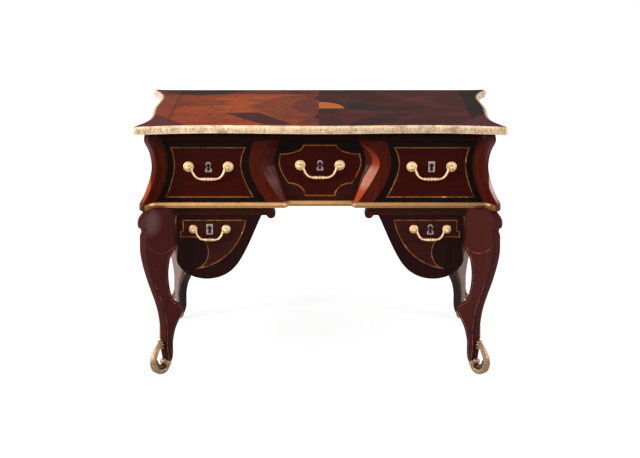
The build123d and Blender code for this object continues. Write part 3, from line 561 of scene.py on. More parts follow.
# ------------------------------------------------------------------ marquetry of the top
SEAM_X = -0.004  # between the bright and the dark half
NIGHT, PLUM, TAN = (36, 27, 23), (60, 31, 31), (104, 50, 37)
TOP_PATCHES = (  # shade, strength, softness of the edge, whether in the bright half only, corners
    (NIGHT, 0.8, 0.02, True, ((-0.54, 0.34), (-0.545, 0.205), (-0.33, 0.225), (-0.2, 0.34))),
    ((96, 48, 34), 0.5, 0.03, True, ((-0.47, 0.19), (-0.47, -0.005), (-0.30, 0.03), (-0.30, 0.12))),
    (TAN, 0.62, 0.03, True, ((-0.232, 0.020), (-0.118, 0.200), (0.118, 0.200), (0.232, 0.020),
                             (0.118, -0.215), (-0.118, -0.215))),
    ((84, 42, 36), 0.7, 0.02, False, ((-0.005, -0.10), (-0.09, -0.325), (0.0, -0.325))),
    (PLUM, 0.95, 0.0025, False, ((-0.296, -0.103), (-0.204, -0.239), (-0.147, -0.304), (-0.071, -0.304),
                                 (-0.189, -0.093))),
    (NIGHT, 0.65, 0.0025, False, ((0.296, -0.103), (0.204, -0.239), (0.147, -0.304), (0.071, -0.304),
                                  (0.189, -0.093))),
    (NIGHT, 0.9, 0.0025, False, ((0.085, 0.075), (0.070, -0.040), (0.197, -0.078), (0.335, -0.030),
                                 (0.196, 0.036))),
    (NIGHT, 0.8, 0.0025, False, ((0.01, 0.315), (0.0, 0.235), (0.19, 0.25), (0.17, 0.315))),
    (PLUM, 0.5, 0.0025, False, ((-0.010, 0.150), (-0.150, 0.315), (-0.070, 0.315), (-0.004, 0.24))),
    ((86, 36, 32), 0.6, 0.0025, False, ((0.229, 0.230), (0.225, 0.190), (0.380, -0.022), (0.470, -0.03),
                                        (0.360, 0.11))),
)
TOP_KNOTS = (  # shade, centre, radii
    ((58, 24, 18), (-0.280, -0.046), (0.008, 0.016)), ((108, 38, 24), (-0.345, -0.127), (0.012, 0.024)),
    ((112, 50, 34), (-0.430, 0.060), (0.030, 0.050)),
)
TOP_VEINS = ((0.452, 0.464, 0.006), (0.515, 0.523, 0.005), (0.585, 0.600, 0.006))
TOP_GLOW = ((-0.20, 0.04), (0.27, 0.22))
TOP_LEAF = ((-0.216, 0.004), (0.130, 0.088))
TOP_OVAL = ((0.0, 0.020), (0.087, 0.142))
TOP_LENS = ((-0.003, -0.022), (0.079, 0.111))
TOP_PIPS_X, TOP_PIPS_Y = (-0.014, -0.002), ((0.140, 0.178), (-0.190, -0.138))
TOP_CROSSBAND_X = 0.4625
TOP_DARK_CORNER = ((-0.535, 0.34), (-0.525, 0.235), (-0.40, 0.205), (-0.26, 0.26), (-0.24, 0.34))
TOP_MITRE = ((0.560, -0.340), (0.508, -0.120), (0.404, -0.292), (0.404, -0.340))


def marquetry_finish():
    """Top: a bright and a dark half, a star of veneer rays about an oval, crossbanding and corner mitres."""
    finish = Finish("marquetry", Specular_IOR_Level=0.002)
    x, y, _ = finish.axes()
    right = edge(x, SEAM_X)
    left = 1 - right
    warp = finish.noise(finish.place, 7.0, 3.0, 0.6)
    burr = finish.noise(finish.laid((0.05, 0.03, 0.03)), 1.0, 5.0, 0.65, 2.2)
    flame = finish.noise(finish.laid((0.34, 0.085, 0.085), (0, 0, 0.08)), 1.0, 4.0, 0.5, 2.6)
    cloud = finish.noise(finish.laid((0.11, 0.030, 0.030), (0, 0, 0.15)), 1.0, 4.0, 0.6, 1.4)
    vein = most(*[band(flame, *bounds) for bounds in TOP_VEINS])
    bright = finish.lay(
        timber(finish, woods().bright, (0, 0, 0.10), length=0.30, breadth=0.024, spread=0.80, wild=2.2),
        (edge(burr, 0.55, 0.16) * 0.6, tint(116, 44, 30)),
        (edge(inside_oval(x, y, *TOP_GLOW), 0.05, 0.16) * 0.45, tint(190, 92, 42)),
        (vein * 0.55, tint(84, 36, 26)))
    dusk = finish.lay(
        timber(finish, woods().dusk, (0, 0, -0.12), length=0.30, breadth=0.022, spread=0.85, wild=2.0),
        (edge(warp, 0.56, 0.16) * 0.5, tint(98, 40, 38)), (vein * 0.6, tint(34, 22, 24)))
    tan = timber(finish, tint(*TAN), breadth=0.012, spread=0.35, wild=1.2)
    plum = timber(finish, tint(*PLUM), (0, 0, 0.4), spread=0.4)
    leaves = {NIGHT: timber(finish, tint(*NIGHT), (0, 0, 0.05), spread=0.35), PLUM: plum, TAN: tan}
    ground = finish.lay(bright, (right, dusk), (left * edge(y, 0.232, 0.012) * 0.85, tint(88, 44, 34)))
    for shade, strength, soft, bright_only, corners in TOP_PATCHES:
        share = edge(inside(x, y, corners), 0.0, soft) * strength * (left if bright_only else 1.0)
        ground = finish.mix(share, ground, leaves.get(shade) or tint(*shade))
    for shade, *oval in TOP_KNOTS:
        ground = finish.mix(edge(inside_oval(x, y, *oval), 0.003, 0.008) * 0.7, ground, tint(*shade))
    oval = inside_oval(x, y, *TOP_OVAL)
    lens = edge(inside_oval(x, y, *TOP_LENS), 0.0) * right * edge(y, TOP_LENS[0][1])
    ground = finish.lay(
        ground,
        (edge(cloud, 0.54, 0.10) * (0.15 + 0.35 * left), tint(92, 40, 28)),
        (band(inside_oval(x, y, *TOP_LEAF), -0.0015, 0.0016, 0.001) * left * 0.75, tint(62, 34, 28)),
        (edge(oval, 0.0), finish.mix(right, tan, plum)),
        (lens, timber(finish, tint(186, 100, 44), (0, 0, 0.2), spread=0.3)),
        (band(oval, -0.001, 0.0022, 0.0006) * 0.85, tint(56, 50, 46)),
        *[(edge(least(between(x, *TOP_PIPS_X), between(y, *bounds)), 0.0), tint(40, 26, 34))
          for bounds in TOP_PIPS_Y],
        (edge(abs(x), TOP_CROSSBAND_X) * (0.6 + 0.22 * right),
         finish.mix(right, tint(128, 58, 38), tint(26, 19, 20))),
        (band(abs(x), 0.457, 0.4665, 0.003) * band(y, -0.205, 0.215, 0.03) * 0.55, tint(66, 36, 26)))
    # darker patch over the top's back left corner, broken up by the cloud figure
    dark_corner = edge(inside(x, y, TOP_DARK_CORNER), 0.006, 0.03) * (0.5 + 0.5 * edge(cloud, 0.46, 0.2))
    mitre = inside(abs(x), y, TOP_MITRE)
    mitred = edge(mitre, 0.0, 0.002)
    joints = most(band(x, -0.0046, -0.0036, 0.0004), band(abs(mitre), -1.0, 0.0005, 0.0004))
    finish.set(Base_Color=finish.lay(
        ground, (dark_corner * 0.8, tint(44, 32, 26)), (mitred * 0.85, tint(82, 38, 44)),
        (edge(-y, 0.283, 0.003) * (1 - mitred) * left * 0.6, tint(150, 58, 42)),
        (joints * 0.5, tint(30, 20, 18))))
    grained(finish, low=0.30, high=0.44)
    return finish.material


# ------------------------------------------------------------------ finishes of the metals
KEYHOLE_EYE = ((0, 0.0040), (0.0056, 0.0056))
KEYHOLE_WAIST, KEYHOLE_FLARE, KEYHOLE_FOOT = 0.0030, 0.16, 0.0120
PLATE_BACK_Y = -0.215  # the locks lie behind it


def gilt_finish(name, middle, hollow, metallic, rough, dull=0.0, dull_from=0.0, flecks=0.0,
                wooden_ends=False):
    """Gilded wood or bronze: painted shade in the cuts and hollows, pale on the high places, duller towards
    the right.
    """
    finish = Finish(name, Metallic=metallic)
    grime = finish.noise(finish.place, 260.0, 4.0, 0.7)
    broad = finish.noise(finish.place, 34.0, 3.0)
    fleck = finish.noise(finish.place, 150.0, 2.0, 0.6)
    share = edge(grime * 0.62 + broad * 0.38, 0.53, 0.13) * (0.35 + flecks * 0.7)
    # painted shade where the mesh's cut layer says: the carving's cuts, the waist's lower part, the feet's
    # dark sheet; the side lips are painted dark
    share = most(share, least(finish.mark("cut") * (2.3 * fleck + 0.1), 1.0))
    x, _, _ = finish.axes()
    gold = finish.lay(middle, (edge(x, dull_from, 0.5) * dull, hollow),
                      (edge(fleck, 0.60, 0.10) * flecks, tint(255, 246, 224)), (share, hollow))
    if wooden_ends:
        ends = edge(abs(x), WOODEN_FROM, 0.003)
        gold = finish.mix(ends, gold, tint(72, 22, 12))
        finish.set(Metallic=metallic - metallic * ends)
        rough = rough + ends * 0.5
    finish.set(Base_Color=gold, Roughness=rough + 0.18 * grime)
    finish.bump(grime, 0.0003, 0.4)
    return finish.material


def brass_finish():
    """Gilt brass of the pulls: pale and polished, darker at random, and with painted shade in the rosettes'
    hollows and on their lower sides.
    """
    finish = Finish("gilt_brass", Metallic=0.55)
    tone = finish.noise(finish.place, 70.0, 3.0, 0.6)
    # painted shade from the rosettes' cut layer, over darker tone at random
    share = most(edge(tone, 0.55, 0.2) * 0.5, least(finish.mark("cut"), 1.0) * 0.95)
    finish.set(Base_Color=finish.mix(share, gilding().brass, tint(140, 112, 58)),
               Roughness=0.28 + 0.2 * tone)
    finish.bump(finish.noise(finish.place, 420.0, 3.0), 0.0001, 0.4)
    return finish.material


def plate_finish():
    """Silvered key plates and iron locks."""
    finish = Finish("key_plate", Metallic=0.7)
    tone = finish.noise(finish.place, 160.0, 3.0, 0.6)
    x, y, z = finish.axes()
    shapes = []
    for middle, _, _, size in PULLS.values():
        across, up = x - middle, z - size["z"]
        slot = least(KEYHOLE_WAIST - KEYHOLE_FLARE * (up + KEYHOLE_WAIST) - abs(across),
                     between(up, -KEYHOLE_FOOT, 0.001))
        shapes.append(most(inside_oval(across, up, *KEYHOLE_EYE), slot))
    hole = most(*shapes)
    finish.set(Base_Color=finish.lay(
        gilding().plate, (edge(tone, 0.56, 0.14) * 0.6, tint(100, 80, 76)),
        (edge(hole, -0.0024, 0.0012) * 0.7, tint(84, 46, 44)),
        # painted shade: the keyhole is near-black on the plate's face, not on the lock behind
        (edge(hole, 0.0, 0.0008) * (1 - edge(y, PLATE_BACK_Y, 0.001)), tint(14, 9, 8))),
        Roughness=0.34 + 0.2 * tone)
    return finish.material


def wear(material, *names):
    """Give CAD nodes a material."""
    for name in names:
        NODES[name].data.materials.clear()
        NODES[name].data.materials.append(material)


# ------------------------------------------------------------------ mesh tools
def spline(points, leave=None, arrive=None, per_run=24):
    """Smooth curve through points, as an array; leave and arrive are its directions at its ends."""
    p = np.array(points, float)
    last = len(p) - 1
    chords = np.linalg.norm(np.diff(p, axis=0), axis=1)
    system, rates = np.eye(last + 1), np.zeros_like(p)
    for end, direction, near in ((0, leave, 1), (last, arrive, last - 1)):
        if direction is not None:
            rates[end] = np.array(direction) / np.linalg.norm(direction)
        else:
            system[end, end], system[end, near] = 2, 1
            chord = chords[0] if end == 0 else chords[-1]
            rates[end] = 3 * (p[near] - p[end]) / chord * (1 if end == 0 else -1)
    for i in range(1, last):
        before, after = chords[i - 1], chords[i]
        system[i, i - 1:i + 2] = after, 2 * (before + after), before
        rates[i] = 3 * (after * (p[i] - p[i - 1]) / before + before * (p[i + 1] - p[i]) / after)
    slopes = np.linalg.solve(system, rates)
    t = np.linspace(0, 1, per_run + 1)[:, None]
    runs = []
    for i, chord in enumerate(chords):
        runs.append((2 * t ** 3 - 3 * t ** 2 + 1) * p[i] + (t ** 3 - 2 * t ** 2 + t) * chord * slopes[i]
                    + (3 * t ** 2 - 2 * t ** 3) * p[i + 1] + (t ** 3 - t ** 2) * chord * slopes[i + 1])
    return np.vstack([runs[0]] + [run[1:] for run in runs[1:]])


def lengths(path):
    """Distance along a path to each of its points."""
    return np.concatenate([[0], np.cumsum(np.linalg.norm(np.diff(path, axis=0), axis=1))])


def even(path, count):
    """The same path with evenly spaced points."""
    along = lengths(path)
    places = np.linspace(0, along[-1], count)
    return np.stack([np.interp(places, along, column) for column in path.T], axis=1)


def skin(bm, rings, capped=False, **layers):
    """Skin over rings of equally many points; capped fills its ends in a mesh that holds nothing else. Each
    further argument names a layer of the vertices and maps a ring's and a point's number to its value."""
    layers = [(bm.verts.layers.float.get(name) or bm.verts.layers.float.new(name), value)
              for name, value in layers.items()]
    levels, around = len(rings) - 1, len(rings[0])
    for vert in bmesh.ops.create_grid(bm, x_segments=levels, y_segments=around, size=0.5)["verts"]:
        level, place = round((vert.co.x + 0.5) * levels), round((vert.co.y + 0.5) * around) % around
        vert.co = rings[level][place]
        for layer, value in layers:
            vert[layer] = value(level, place)
    if capped:
        bmesh.ops.remove_doubles(bm, verts=bm.verts, dist=MERGE)
        bmesh.ops.holes_fill(bm, edges=[e for e in bm.edges if e.is_boundary], sides=0)


def settle(bm, word, node, material, body, crease):
    """Turn a bmesh into a finished piece that rides on a body and stands for a CAD node."""
    bmesh.ops.remove_doubles(bm, verts=bm.verts, dist=MERGE)
    bmesh.ops.recalc_face_normals(bm, faces=bm.faces)
    mesh = bpy.data.meshes.new(f"{word}_{node}")
    bm.to_mesh(mesh)
    bm.free()
    mesh.shade_smooth()
    mesh.set_sharp_from_angle(angle=math.radians(crease))
    mesh.materials.append(material)
    piece = bpy.data.objects.new(mesh.name, mesh)
    bpy.context.scene.collection.objects.link(piece)
    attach(piece, body)
    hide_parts(node)


def swept(path, section, place):
    """Rings of a section that follows a flat path: section(share) lists (left of the path, across it) pairs,
    and place turns the flat point and the offset across into a point of the desk."""
    directions = np.gradient(path, axis=0)
    directions /= np.linalg.norm(directions, axis=1)[:, None]
    shares = lengths(path) / lengths(path)[-1]
    return [[place(p[0] - d[1] * left, p[1] + d[0] * left, across) for left, across in section(share)]
            for p, d, share in zip(path, directions, shares)]


def round_section(left, across, around=16):
    """An oval section."""
    return [(left * math.cos(2 * math.pi * k / around), across * math.sin(2 * math.pi * k / around))
            for k in range(around)]


# ------------------------------------------------------------------ gilt edge of the top
TOP_EDGE_PROFILE = (  # inside the outline, below the top: lip, quirk, carved ovolo, quirk and bead
    (0.0140, 0.0006), (0.0132, 0.0001), (0.0110, 0.0000), (0.0088, 0.0003), (0.0078, 0.0013),
    (0.0068, 0.0014), (0.0050, 0.0022), (0.0030, 0.0040), (0.0013, 0.0068), (0.0004, 0.0102),
    (0.0002, 0.0135), (0.0009, 0.0165), (0.0024, 0.0186), (0.0032, 0.0191), (0.0027, 0.0200),
    (0.0016, 0.0212), (0.0018, 0.0226), (0.0030, 0.0236), (0.0060, 0.0240), (0.0140, 0.0240),
)
CARVED_FROM, CARVED_TO = 0.0022, 0.0188
BEAD_FROM, BEAD_TO = 0.0193, 0.0238
BEAD_PITCH, BEAD_DEPTH = 0.0060, 0.0011
EDGE_STEP = 0.0012
FULL_CUT = 0.0017  # carving depth that gets the full painted shade
LIP_INSET, LIP_BELOW, LIP_SHADE = 0.0080, 0.002, 0.9
CORNER_TURN = math.radians(125.8)
# hollows and ears of the outline, from its corners: reach along the edge and depth inside it
FRONT_BULGE, FRONT_HOLLOW = 0.009, (0.190, 0.020)
SIDE_EAR, SIDE_HOLLOW, EAR_REACH = (0.0255, 0.080), 0.030, 0.080


def top_outline(inset):
    """Right half of the top's outline: its front, side, rear ear and back runs."""
    x, y = HALF_WIDTH - inset, HALF_DEPTH - inset
    tip_x, tip_y = x + TOP_CORNER_TRIM, y + TOP_CORNER_TRIM
    (along, deep), (ear_in, ear_along) = FRONT_HOLLOW, SIDE_EAR
    front = spline([(0, FRONT_BULGE - y), (x - along, deep - y), (tip_x, -tip_y)], (1, 0), (1, -0.25), 40)
    near = spline([(tip_x, -tip_y), (x - ear_in, ear_along - y), (x - SIDE_HOLLOW, 0)],
                  (-0.4, 1), (0, 1), 40)
    ear = spline([(tip_x, tip_y), (x - EAR_REACH, y)], (-1, -0.25), (-1, 0), 40)
    return front, np.vstack([near, (near * (1, -1))[::-1][1:]]), np.vstack([ear, [(0, y)]])


def rounded(before, after):
    """The halves of two runs that meet at a corner, with the corner rounded."""
    trim = TOP_CORNER_RADIUS * math.tan(CORNER_TURN / 2)
    handle = TOP_CORNER_RADIUS * 4 / 3 * math.tan(CORNER_TURN / 4)
    far, near = lengths(before), lengths(after)
    start = np.array([np.interp(far[-1] - trim, far, c) for c in before.T])
    finish = np.array([np.interp(trim, near, c) for c in after.T])
    leave = (before[-1] - start) / np.linalg.norm(before[-1] - start)
    arrive = (finish - after[0]) / np.linalg.norm(finish - after[0])
    knots = (start, start + handle * leave, finish - handle * arrive, finish)
    arc = np.array(interpolate_bezier(*[Vector(knot) for knot in knots], 25))[:, :2]
    return np.vstack([before[far < far[-1] - trim], arc[:13]]), np.vstack([arc[12:], after[near > trim]])


def carving(along, below, gild):
    """Depth of the cut into the edge moulding at a length along it and a height below the top."""
    if CARVED_FROM < below < CARVED_TO:
        rise = (below - CARVED_FROM) / (CARVED_TO - CARVED_FROM)
        phase = (along / gild.leaf_pitch + 0.30 * math.sin(math.pi * rise) + 0.32 * math.sin(41 * along)
                 + 0.22 * math.sin(97 * along + 1))
        leaf = abs(math.sin(math.pi * phase))
        vein = math.exp(-(((phase % 1) - 0.5) / 0.07) ** 2)
        eye = math.exp(-((((phase + 0.5) % 1) - 0.5) / 0.13) ** 2 - ((rise - 0.82) / 0.12) ** 2)
        sway = 0.62 + 0.38 * math.sin(173 * along + 3 * rise) * math.sin(61 * along + 2)
        fine = 0.30 * math.sin(1130 * along + 9 * rise) * math.sin(5.2 * math.pi * rise + 40 * along)
        return gild.leaf_depth * math.sin(math.pi * rise) ** 0.5 * max(
            -0.3, sway * (1 - leaf ** 0.7 + 0.35 * vein - 0.6 * eye) + fine)
    if BEAD_FROM < below < BEAD_TO:
        return BEAD_DEPTH * (1 - abs(math.sin(math.pi * along / BEAD_PITCH)) ** 0.6)
    return 0.0


def edge_moulding(name, outer, inner, material, dark_lip=False):
    """Length of carved moulding between two outlines, with painted shade in its cuts; a side's inner lip is
    painted dark.
    """
    gild = gilding()
    total = lengths(outer)[-1]
    steps = int(total / EDGE_STEP)
    outer, inner = even(outer, steps + 1), even(inner, steps + 1)
    inwards = (inner - outer) / TOP_EDGE_WIDTH
    depths = [[carving(step * total / steps, below, gild) for _, below in TOP_EDGE_PROFILE]
              for step in range(steps + 1)]
    rings = [[Vector((*(start + towards * (inset + depth)), TOP_Z - below))
              for (inset, below), depth in zip(TOP_EDGE_PROFILE, row)]
             for start, towards, row in zip(outer, inwards, depths)]

    # painted shade grows with the carving's depth; a side's inner lip is painted dark
    def cut(level, place):
        inset, below = TOP_EDGE_PROFILE[place]
        dark = dark_lip and inset > LIP_INSET and below < LIP_BELOW
        return LIP_SHADE if dark else depths[level][place] / FULL_CUT

    bm = bmesh.new()
    skin(bm, rings, capped=True, cut=cut)
    settle(bm, "carved", name, material, "desk", 40)


class DESK_OT_top_edge(bpy.types.Operator):
    """Carve the gilt edge moulding in four mitred lengths"""

    bl_idname = "desk.top_edge"
    bl_label = "Gilt top edge"

    def execute(self, context):
        material = gilt_finish("pale_gilding", gilding().pale, tint(118, 84, 46), 0.5, 0.34,
                               dull=0.30, dull_from=-0.10, flecks=0.6)
        outer, inner = top_outline(0.0), top_outline(TOP_EDGE_WIDTH)
        front, side = rounded(outer[0], outer[1])
        side, ear = rounded(side, outer[2])
        for name, out, back in (("front", front, inner[0]), ("back", ear[::-1], inner[2][::-1])):
            both = [np.vstack([(run * MIRRORED)[::-1][:-1], run]) for run in (out, back)]
            edge_moulding(f"top_moulding_{name}", *both, material)
        edge_moulding("top_moulding_right", side, inner[1], material, True)
        edge_moulding("top_moulding_left", side * MIRRORED, inner[1] * MIRRORED, material, True)
        return {"FINISHED"}


# ------------------------------------------------------------------ waist moulding
WAIST_OUT = 0.009
WOODEN_FROM = 0.5314  # the moulding's ends past it are bare wood
KNUCKLE = (0.1075, -0.2655, 0.0098)
KNUCKLE_RADII = (0.0034, 0.0028, 0.0088)
WAIST_FRONT_Y, RECESS_DEPTH, BEVEL_DEPTH = -0.256, 0.022, 0.007
RECESS_X, SCROLL_X, FRONT_X = 0.101, 0.115, 0.499
EAR_TIP, EAR_CANT = (0.550, 0.303), 0.015
WAIST_PROFILE = (  # share of the moulding's reach, height above the underside: bead over a small hollow
    (0.0, 0.0180), (0.42, 0.0180), (0.62, 0.0174), (0.80, 0.0160), (0.93, 0.0138), (1.0, 0.0110),
    (0.98, 0.0082), (0.90, 0.0062), (0.74, 0.0050), (0.66, 0.0046), (0.68, 0.0034), (0.62, 0.0018),
    (0.46, 0.0004), (0.0, 0.0),
)

# painted shade of the waist moulding: its lower hollow, and its lower part darkening towards the underside
WAIST_GROOVE = 0.0050
WAIST_SHADE_FROM, WAIST_SHADE_REACH = 0.0096, 0.0040


def waist_outline(outset):
    """Right half of the waist's front outline, from the middle to the ear's arris."""
    front, recess, scroll = (at - outset for at in (WAIST_FRONT_Y, RECESS_X, SCROLL_X))
    bevel = scroll - BEVEL_SHARE * (scroll - recess)
    arris = (EAR_TIP[0] + outset - EAR_CANT, -EAR_TIP[1] - outset)
    middle = np.array([(0, front + RECESS_DEPTH), (recess, front + RECESS_DEPTH)])
    return middle, np.vstack([middle[1:], [(bevel, front + BEVEL_DEPTH), (scroll, front)],
                              spline([(FRONT_X, front), arris], (1, 0), (1, -1), 30)])


def waist_length(name, outer, inner, material, count, knuckles=False):
    """Length of the waist moulding between two outlines, with a knuckle over each mitre if asked."""
    outer, inner = even(outer, count), even(inner, count)
    rings = [[Vector((*(i + share * (o - i)), UNDERSIDE_Z + up)) for share, up in WAIST_PROFILE]
             for o, i in zip(outer, inner)]
    bm = bmesh.new()
    skin(bm, rings)
    if knuckles:
        for side in (-1, 1):
            x, y, up = KNUCKLE
            ball(bm, (side * x, y, UNDERSIDE_Z + up), KNUCKLE_RADII, 14, 8)
    # painted shade, darker in the lower hollow and towards the underside
    cut = bm.verts.layers.float.new("cut")
    for vert in bm.verts:
        height = vert.co.z - UNDERSIDE_Z
        shade = min(1.0, max(0.0, (WAIST_SHADE_FROM - height) / WAIST_SHADE_REACH))
        vert[cut] = 0.35 if height < WAIST_GROOVE else 0.9 * shade
    settle(bm, "gilt", name, material, "desk", 40)


class DESK_OT_waist(bpy.types.Operator):
    """Run the gilt moulding round the waist in three lengths"""

    bl_idname = "desk.waist"
    bl_label = "Waist moulding"

    def execute(self, context):
        material = gilt_finish("amber_gilding", gilding().amber, tint(112, 70, 38), 0.6, 0.30,
                               dull=0.62, dull_from=0.16, wooden_ends=True)
        outer, inner = waist_outline(WAIST_OUT), waist_outline(0.0)
        for hand, side in HANDS:
            flip = MIRRORED if side < 0 else 1
            waist_length(f"waist_moulding_{hand}", outer[1] * flip, inner[1] * flip, material, 220)
        middle = [np.vstack([(run[0] * MIRRORED)[::-1][:-1], run[0]]) for run in (outer, inner)]
        waist_length("waist_moulding_middle", *middle, material, 60, True)
        return {"FINISHED"}


# ------------------------------------------------------------------ legs
LEG_TOP = 0.535
LEG_FOOT = 0.030
LEG_OUTER = (  # height, reach outwards along the diagonal: collar, notch, knee, calf and ankle
    (0.535, 0.0640), (0.524, 0.0780), (0.508, 0.0905), (0.494, 0.0920), (0.484, 0.0885), (0.4765, 0.0800),
    (0.471, 0.0790), (0.463, 0.0830), (0.446, 0.0855), (0.415, 0.0865), (0.385, 0.0830), (0.355, 0.0760),
    (0.326, 0.0675), (0.268, 0.0468), (0.210, 0.0270), (0.170, 0.0195), (0.135, 0.0172), (0.098, 0.0176),
    (0.068, 0.0160), (0.048, 0.0130), (0.030, 0.0110),
)
LEG_INNER = (
    (0.535, -0.0300), (0.500, -0.0315), (0.470, -0.0315), (0.443, -0.0340), (0.421, -0.0360),
    (0.407, -0.0345), (0.396, -0.0270), (0.383, -0.0150), (0.360, -0.0060), (0.326, -0.0010),
    (0.290, -0.0030), (0.260, -0.0090), (0.243, -0.0160), (0.231, -0.0270), (0.2235, -0.0385),
    (0.216, -0.0485), (0.208, -0.0550), (0.201, -0.0575), (0.192, -0.0550), (0.178, -0.0460),
    (0.162, -0.0355), (0.142, -0.0240), (0.122, -0.0170), (0.098, -0.0125), (0.066, -0.0125),
    (0.050, -0.0105), (0.039, -0.0065), (0.030, 0.0000),
)
LEG_BREADTH = ((0.535, 0.033), (0.443, 0.034), (0.384, 0.033), (0.268, 0.032), (0.098, 0.031),
               (0.030, 0.028))
LEG_ARRIS = 0.0035
LEG_LEVELS = 170
FLAT_STEPS, END_STEPS, ARC_STEPS = 16, 5, 4


def profile(points, z):
    """Smooth value at height z of a list of heights and values."""
    curve = spline(points)[::-1]
    return np.interp(z, curve[:, 0], curve[:, 1])


def rounded_box(near, far, half):
    """Section with rounded corners: from near to far along the diagonal and half to each side."""
    def arc(p, q, angle):
        return [(p + LEG_ARRIS * math.cos(a), q + LEG_ARRIS * math.sin(a))
                for a in np.radians(np.linspace(angle, angle + 90, ARC_STEPS + 1))]

    near, far, half = near + LEG_ARRIS, far - LEG_ARRIS, half - LEG_ARRIS
    arcs = [arc(far, half, 0), arc(near, half, 90), arc(near, -half, 180), arc(far, -half, 270)]
    ring = []
    for number, (points, after) in enumerate(zip(arcs, arcs[1:] + arcs[:1])):
        steps = END_STEPS if number % 2 else FLAT_STEPS
        ring += points + [tuple(np.array(points[-1]) + np.subtract(after[0], points[-1]) * k / steps)
                          for k in range(1, steps)]
    return ring


def leg_frame(side, fore):
    """Maps a reach outwards, a height and an offset across the diagonal to a point of the desk."""
    def place(reach, z, across):
        return Vector((side * (LEG_X + DIAGONAL * (reach + across)),
                       fore * (LEG_Y + DIAGONAL * (reach - across)), z))
    return place


class DESK_OT_legs(bpy.types.Operator):
    """Shape the four cabriole legs with their collars, knees and spurs"""

    bl_idname = "desk.legs"
    bl_label = "Cabriole legs"

    def execute(self, context):
        material = leg_finish()
        z = np.linspace(LEG_FOOT, LEG_TOP, LEG_LEVELS + 1)
        outer, inner, breadth = (profile(run, z) for run in (LEG_OUTER, LEG_INNER, LEG_BREADTH))
        sections = [rounded_box(*section) for section in zip(inner, outer, breadth / 2)]
        lines = [np.stack([run, z], axis=1) for run in (inner, outer)]
        nearest = []
        for level, ring in enumerate(sections):
            spots = np.array([(reach, z[level]) for reach, _ in ring])
            nearest.append([np.linalg.norm(spots[:, None] - line[None], axis=2).min(axis=1)
                            for line in lines])

        def along(level, k):
            return (sections[level][k][0] - inner[level]) / (outer[level] - inner[level])

        for corner, side, fore in CORNERS:
            place = leg_frame(side, fore)
            bm = bmesh.new()
            rings = [[place(reach, height, across) for reach, across in ring]
                     for height, ring in zip(z, sections)]
            skin(bm, rings, capped=True, from_inner=lambda level, k: nearest[level][0][k],
                 from_outer=lambda level, k: nearest[level][1][k], along_depth=along,
                 outer_arris=lambda level, k: float(k < ARC_STEPS))
            settle(bm, "shaped", f"leg_{corner}", material, "desk", 50)
        return {"FINISHED"}


# ------------------------------------------------------------------ feet
FOOT_WIDTH = 0.022
FOOT_SCROLL = (  # reach outwards, height: from the knob round the scroll's outside to its volute
    (0.0275, 0.0990), (0.0370, 0.0890), (0.0490, 0.0720), (0.0575, 0.0520), (0.0560, 0.0310),
    (0.0465, 0.0152), (0.0330, 0.0088), (0.0190, 0.0100), (0.0065, 0.0185), (0.0022, 0.0300),
    (0.0060, 0.0400), (0.0140, 0.0410), (0.0170, 0.0340),
)
FOOT_THICKNESS = (  # share of the scroll's length, thickness
    (0, 0.0070), (0.15, 0.0090), (0.32, 0.0125), (0.52, 0.0168), (0.66, 0.0150), (0.80, 0.0115), (1, 0.0080),
)
FOOT_GROOVE = 0.42  # of half the thickness
FOOT_SECTION = (  # shares of half the thickness and of half the width, over the outside and the inside
    (0.55, 1), (0.95, 0.86), (1, 0.66), (0.80, 0.4), (1 - FOOT_GROOVE, 0.2), (1 - FOOT_GROOVE, -0.2),
    (0.80, -0.4), (1, -0.66), (0.95, -0.86), (0.55, -1), (-0.4, -1), (-0.9, -0.9), (-1, -0.5), (-1, 0.5),
    (-0.9, 0.9), (-0.4, 1),
)
FOOT_BALL = (0.0095, 0.0330)
FOOT_BALL_RADIUS = 0.0105
FOOT_BOSS_SHARE, FOOT_BOSS_OUT = 0.62, 1.35  # of the ball's radius and of its distance across
# painted shade: a dark sheet inside the scroll, along this path, and its half sizes across
FOOT_SHADE_SHEET = ((0.0140, 0.0240), (0.0290, 0.0225), (0.0430, 0.0300), (0.0490, 0.0450))
FOOT_SHADE_SHEET_HALF = (0.0085, 0.0050)
FOOT_KNOB = (  # reach, height, radius and half height of the rings at the scroll's start
    (0.0270, 0.1045, 0.0100, 0.0056), (0.0220, 0.0950, 0.0085, 0.0050), (0.0260, 0.0860, 0.0105, 0.0042),
)
LEAF_START, LEAF_STEP, LEAF_RADIUS = (0.0400, 0.0740), (0.0035, -0.0085), 0.0042
LEAF_HALF_HEIGHT, LEAF_SHRINK, LEAVES = 0.0060, 0.0008, 4
TRIM_BOTTOM, TRIM_TOP = 0.110, 0.156
TRIM_PITCH, TRIM_RADIUS, TRIM_ACROSS, TRIM_SUNK = 0.0052, 0.0021, 0.0145, 0.0006


def ball(bm, centre, radii, segments=20, rings=12):
    """A sphere or flattened sphere."""
    made = bmesh.ops.create_uvsphere(bm, u_segments=segments, v_segments=rings, radius=1)
    bmesh.ops.scale(bm, vec=radii, verts=made["verts"])
    bmesh.ops.translate(bm, vec=centre, verts=made["verts"])
    return made["verts"]


def foot_section(share):
    """Section of the scroll: a band with a groove down its outside."""
    thick = np.interp(share, *zip(*FOOT_THICKNESS)) / 2
    half = FOOT_WIDTH / 2 * (0.86 + 0.14 * math.sin(math.pi * min(1, share * 1.1)))
    return [(thick * left, half * across) for left, across in FOOT_SECTION]


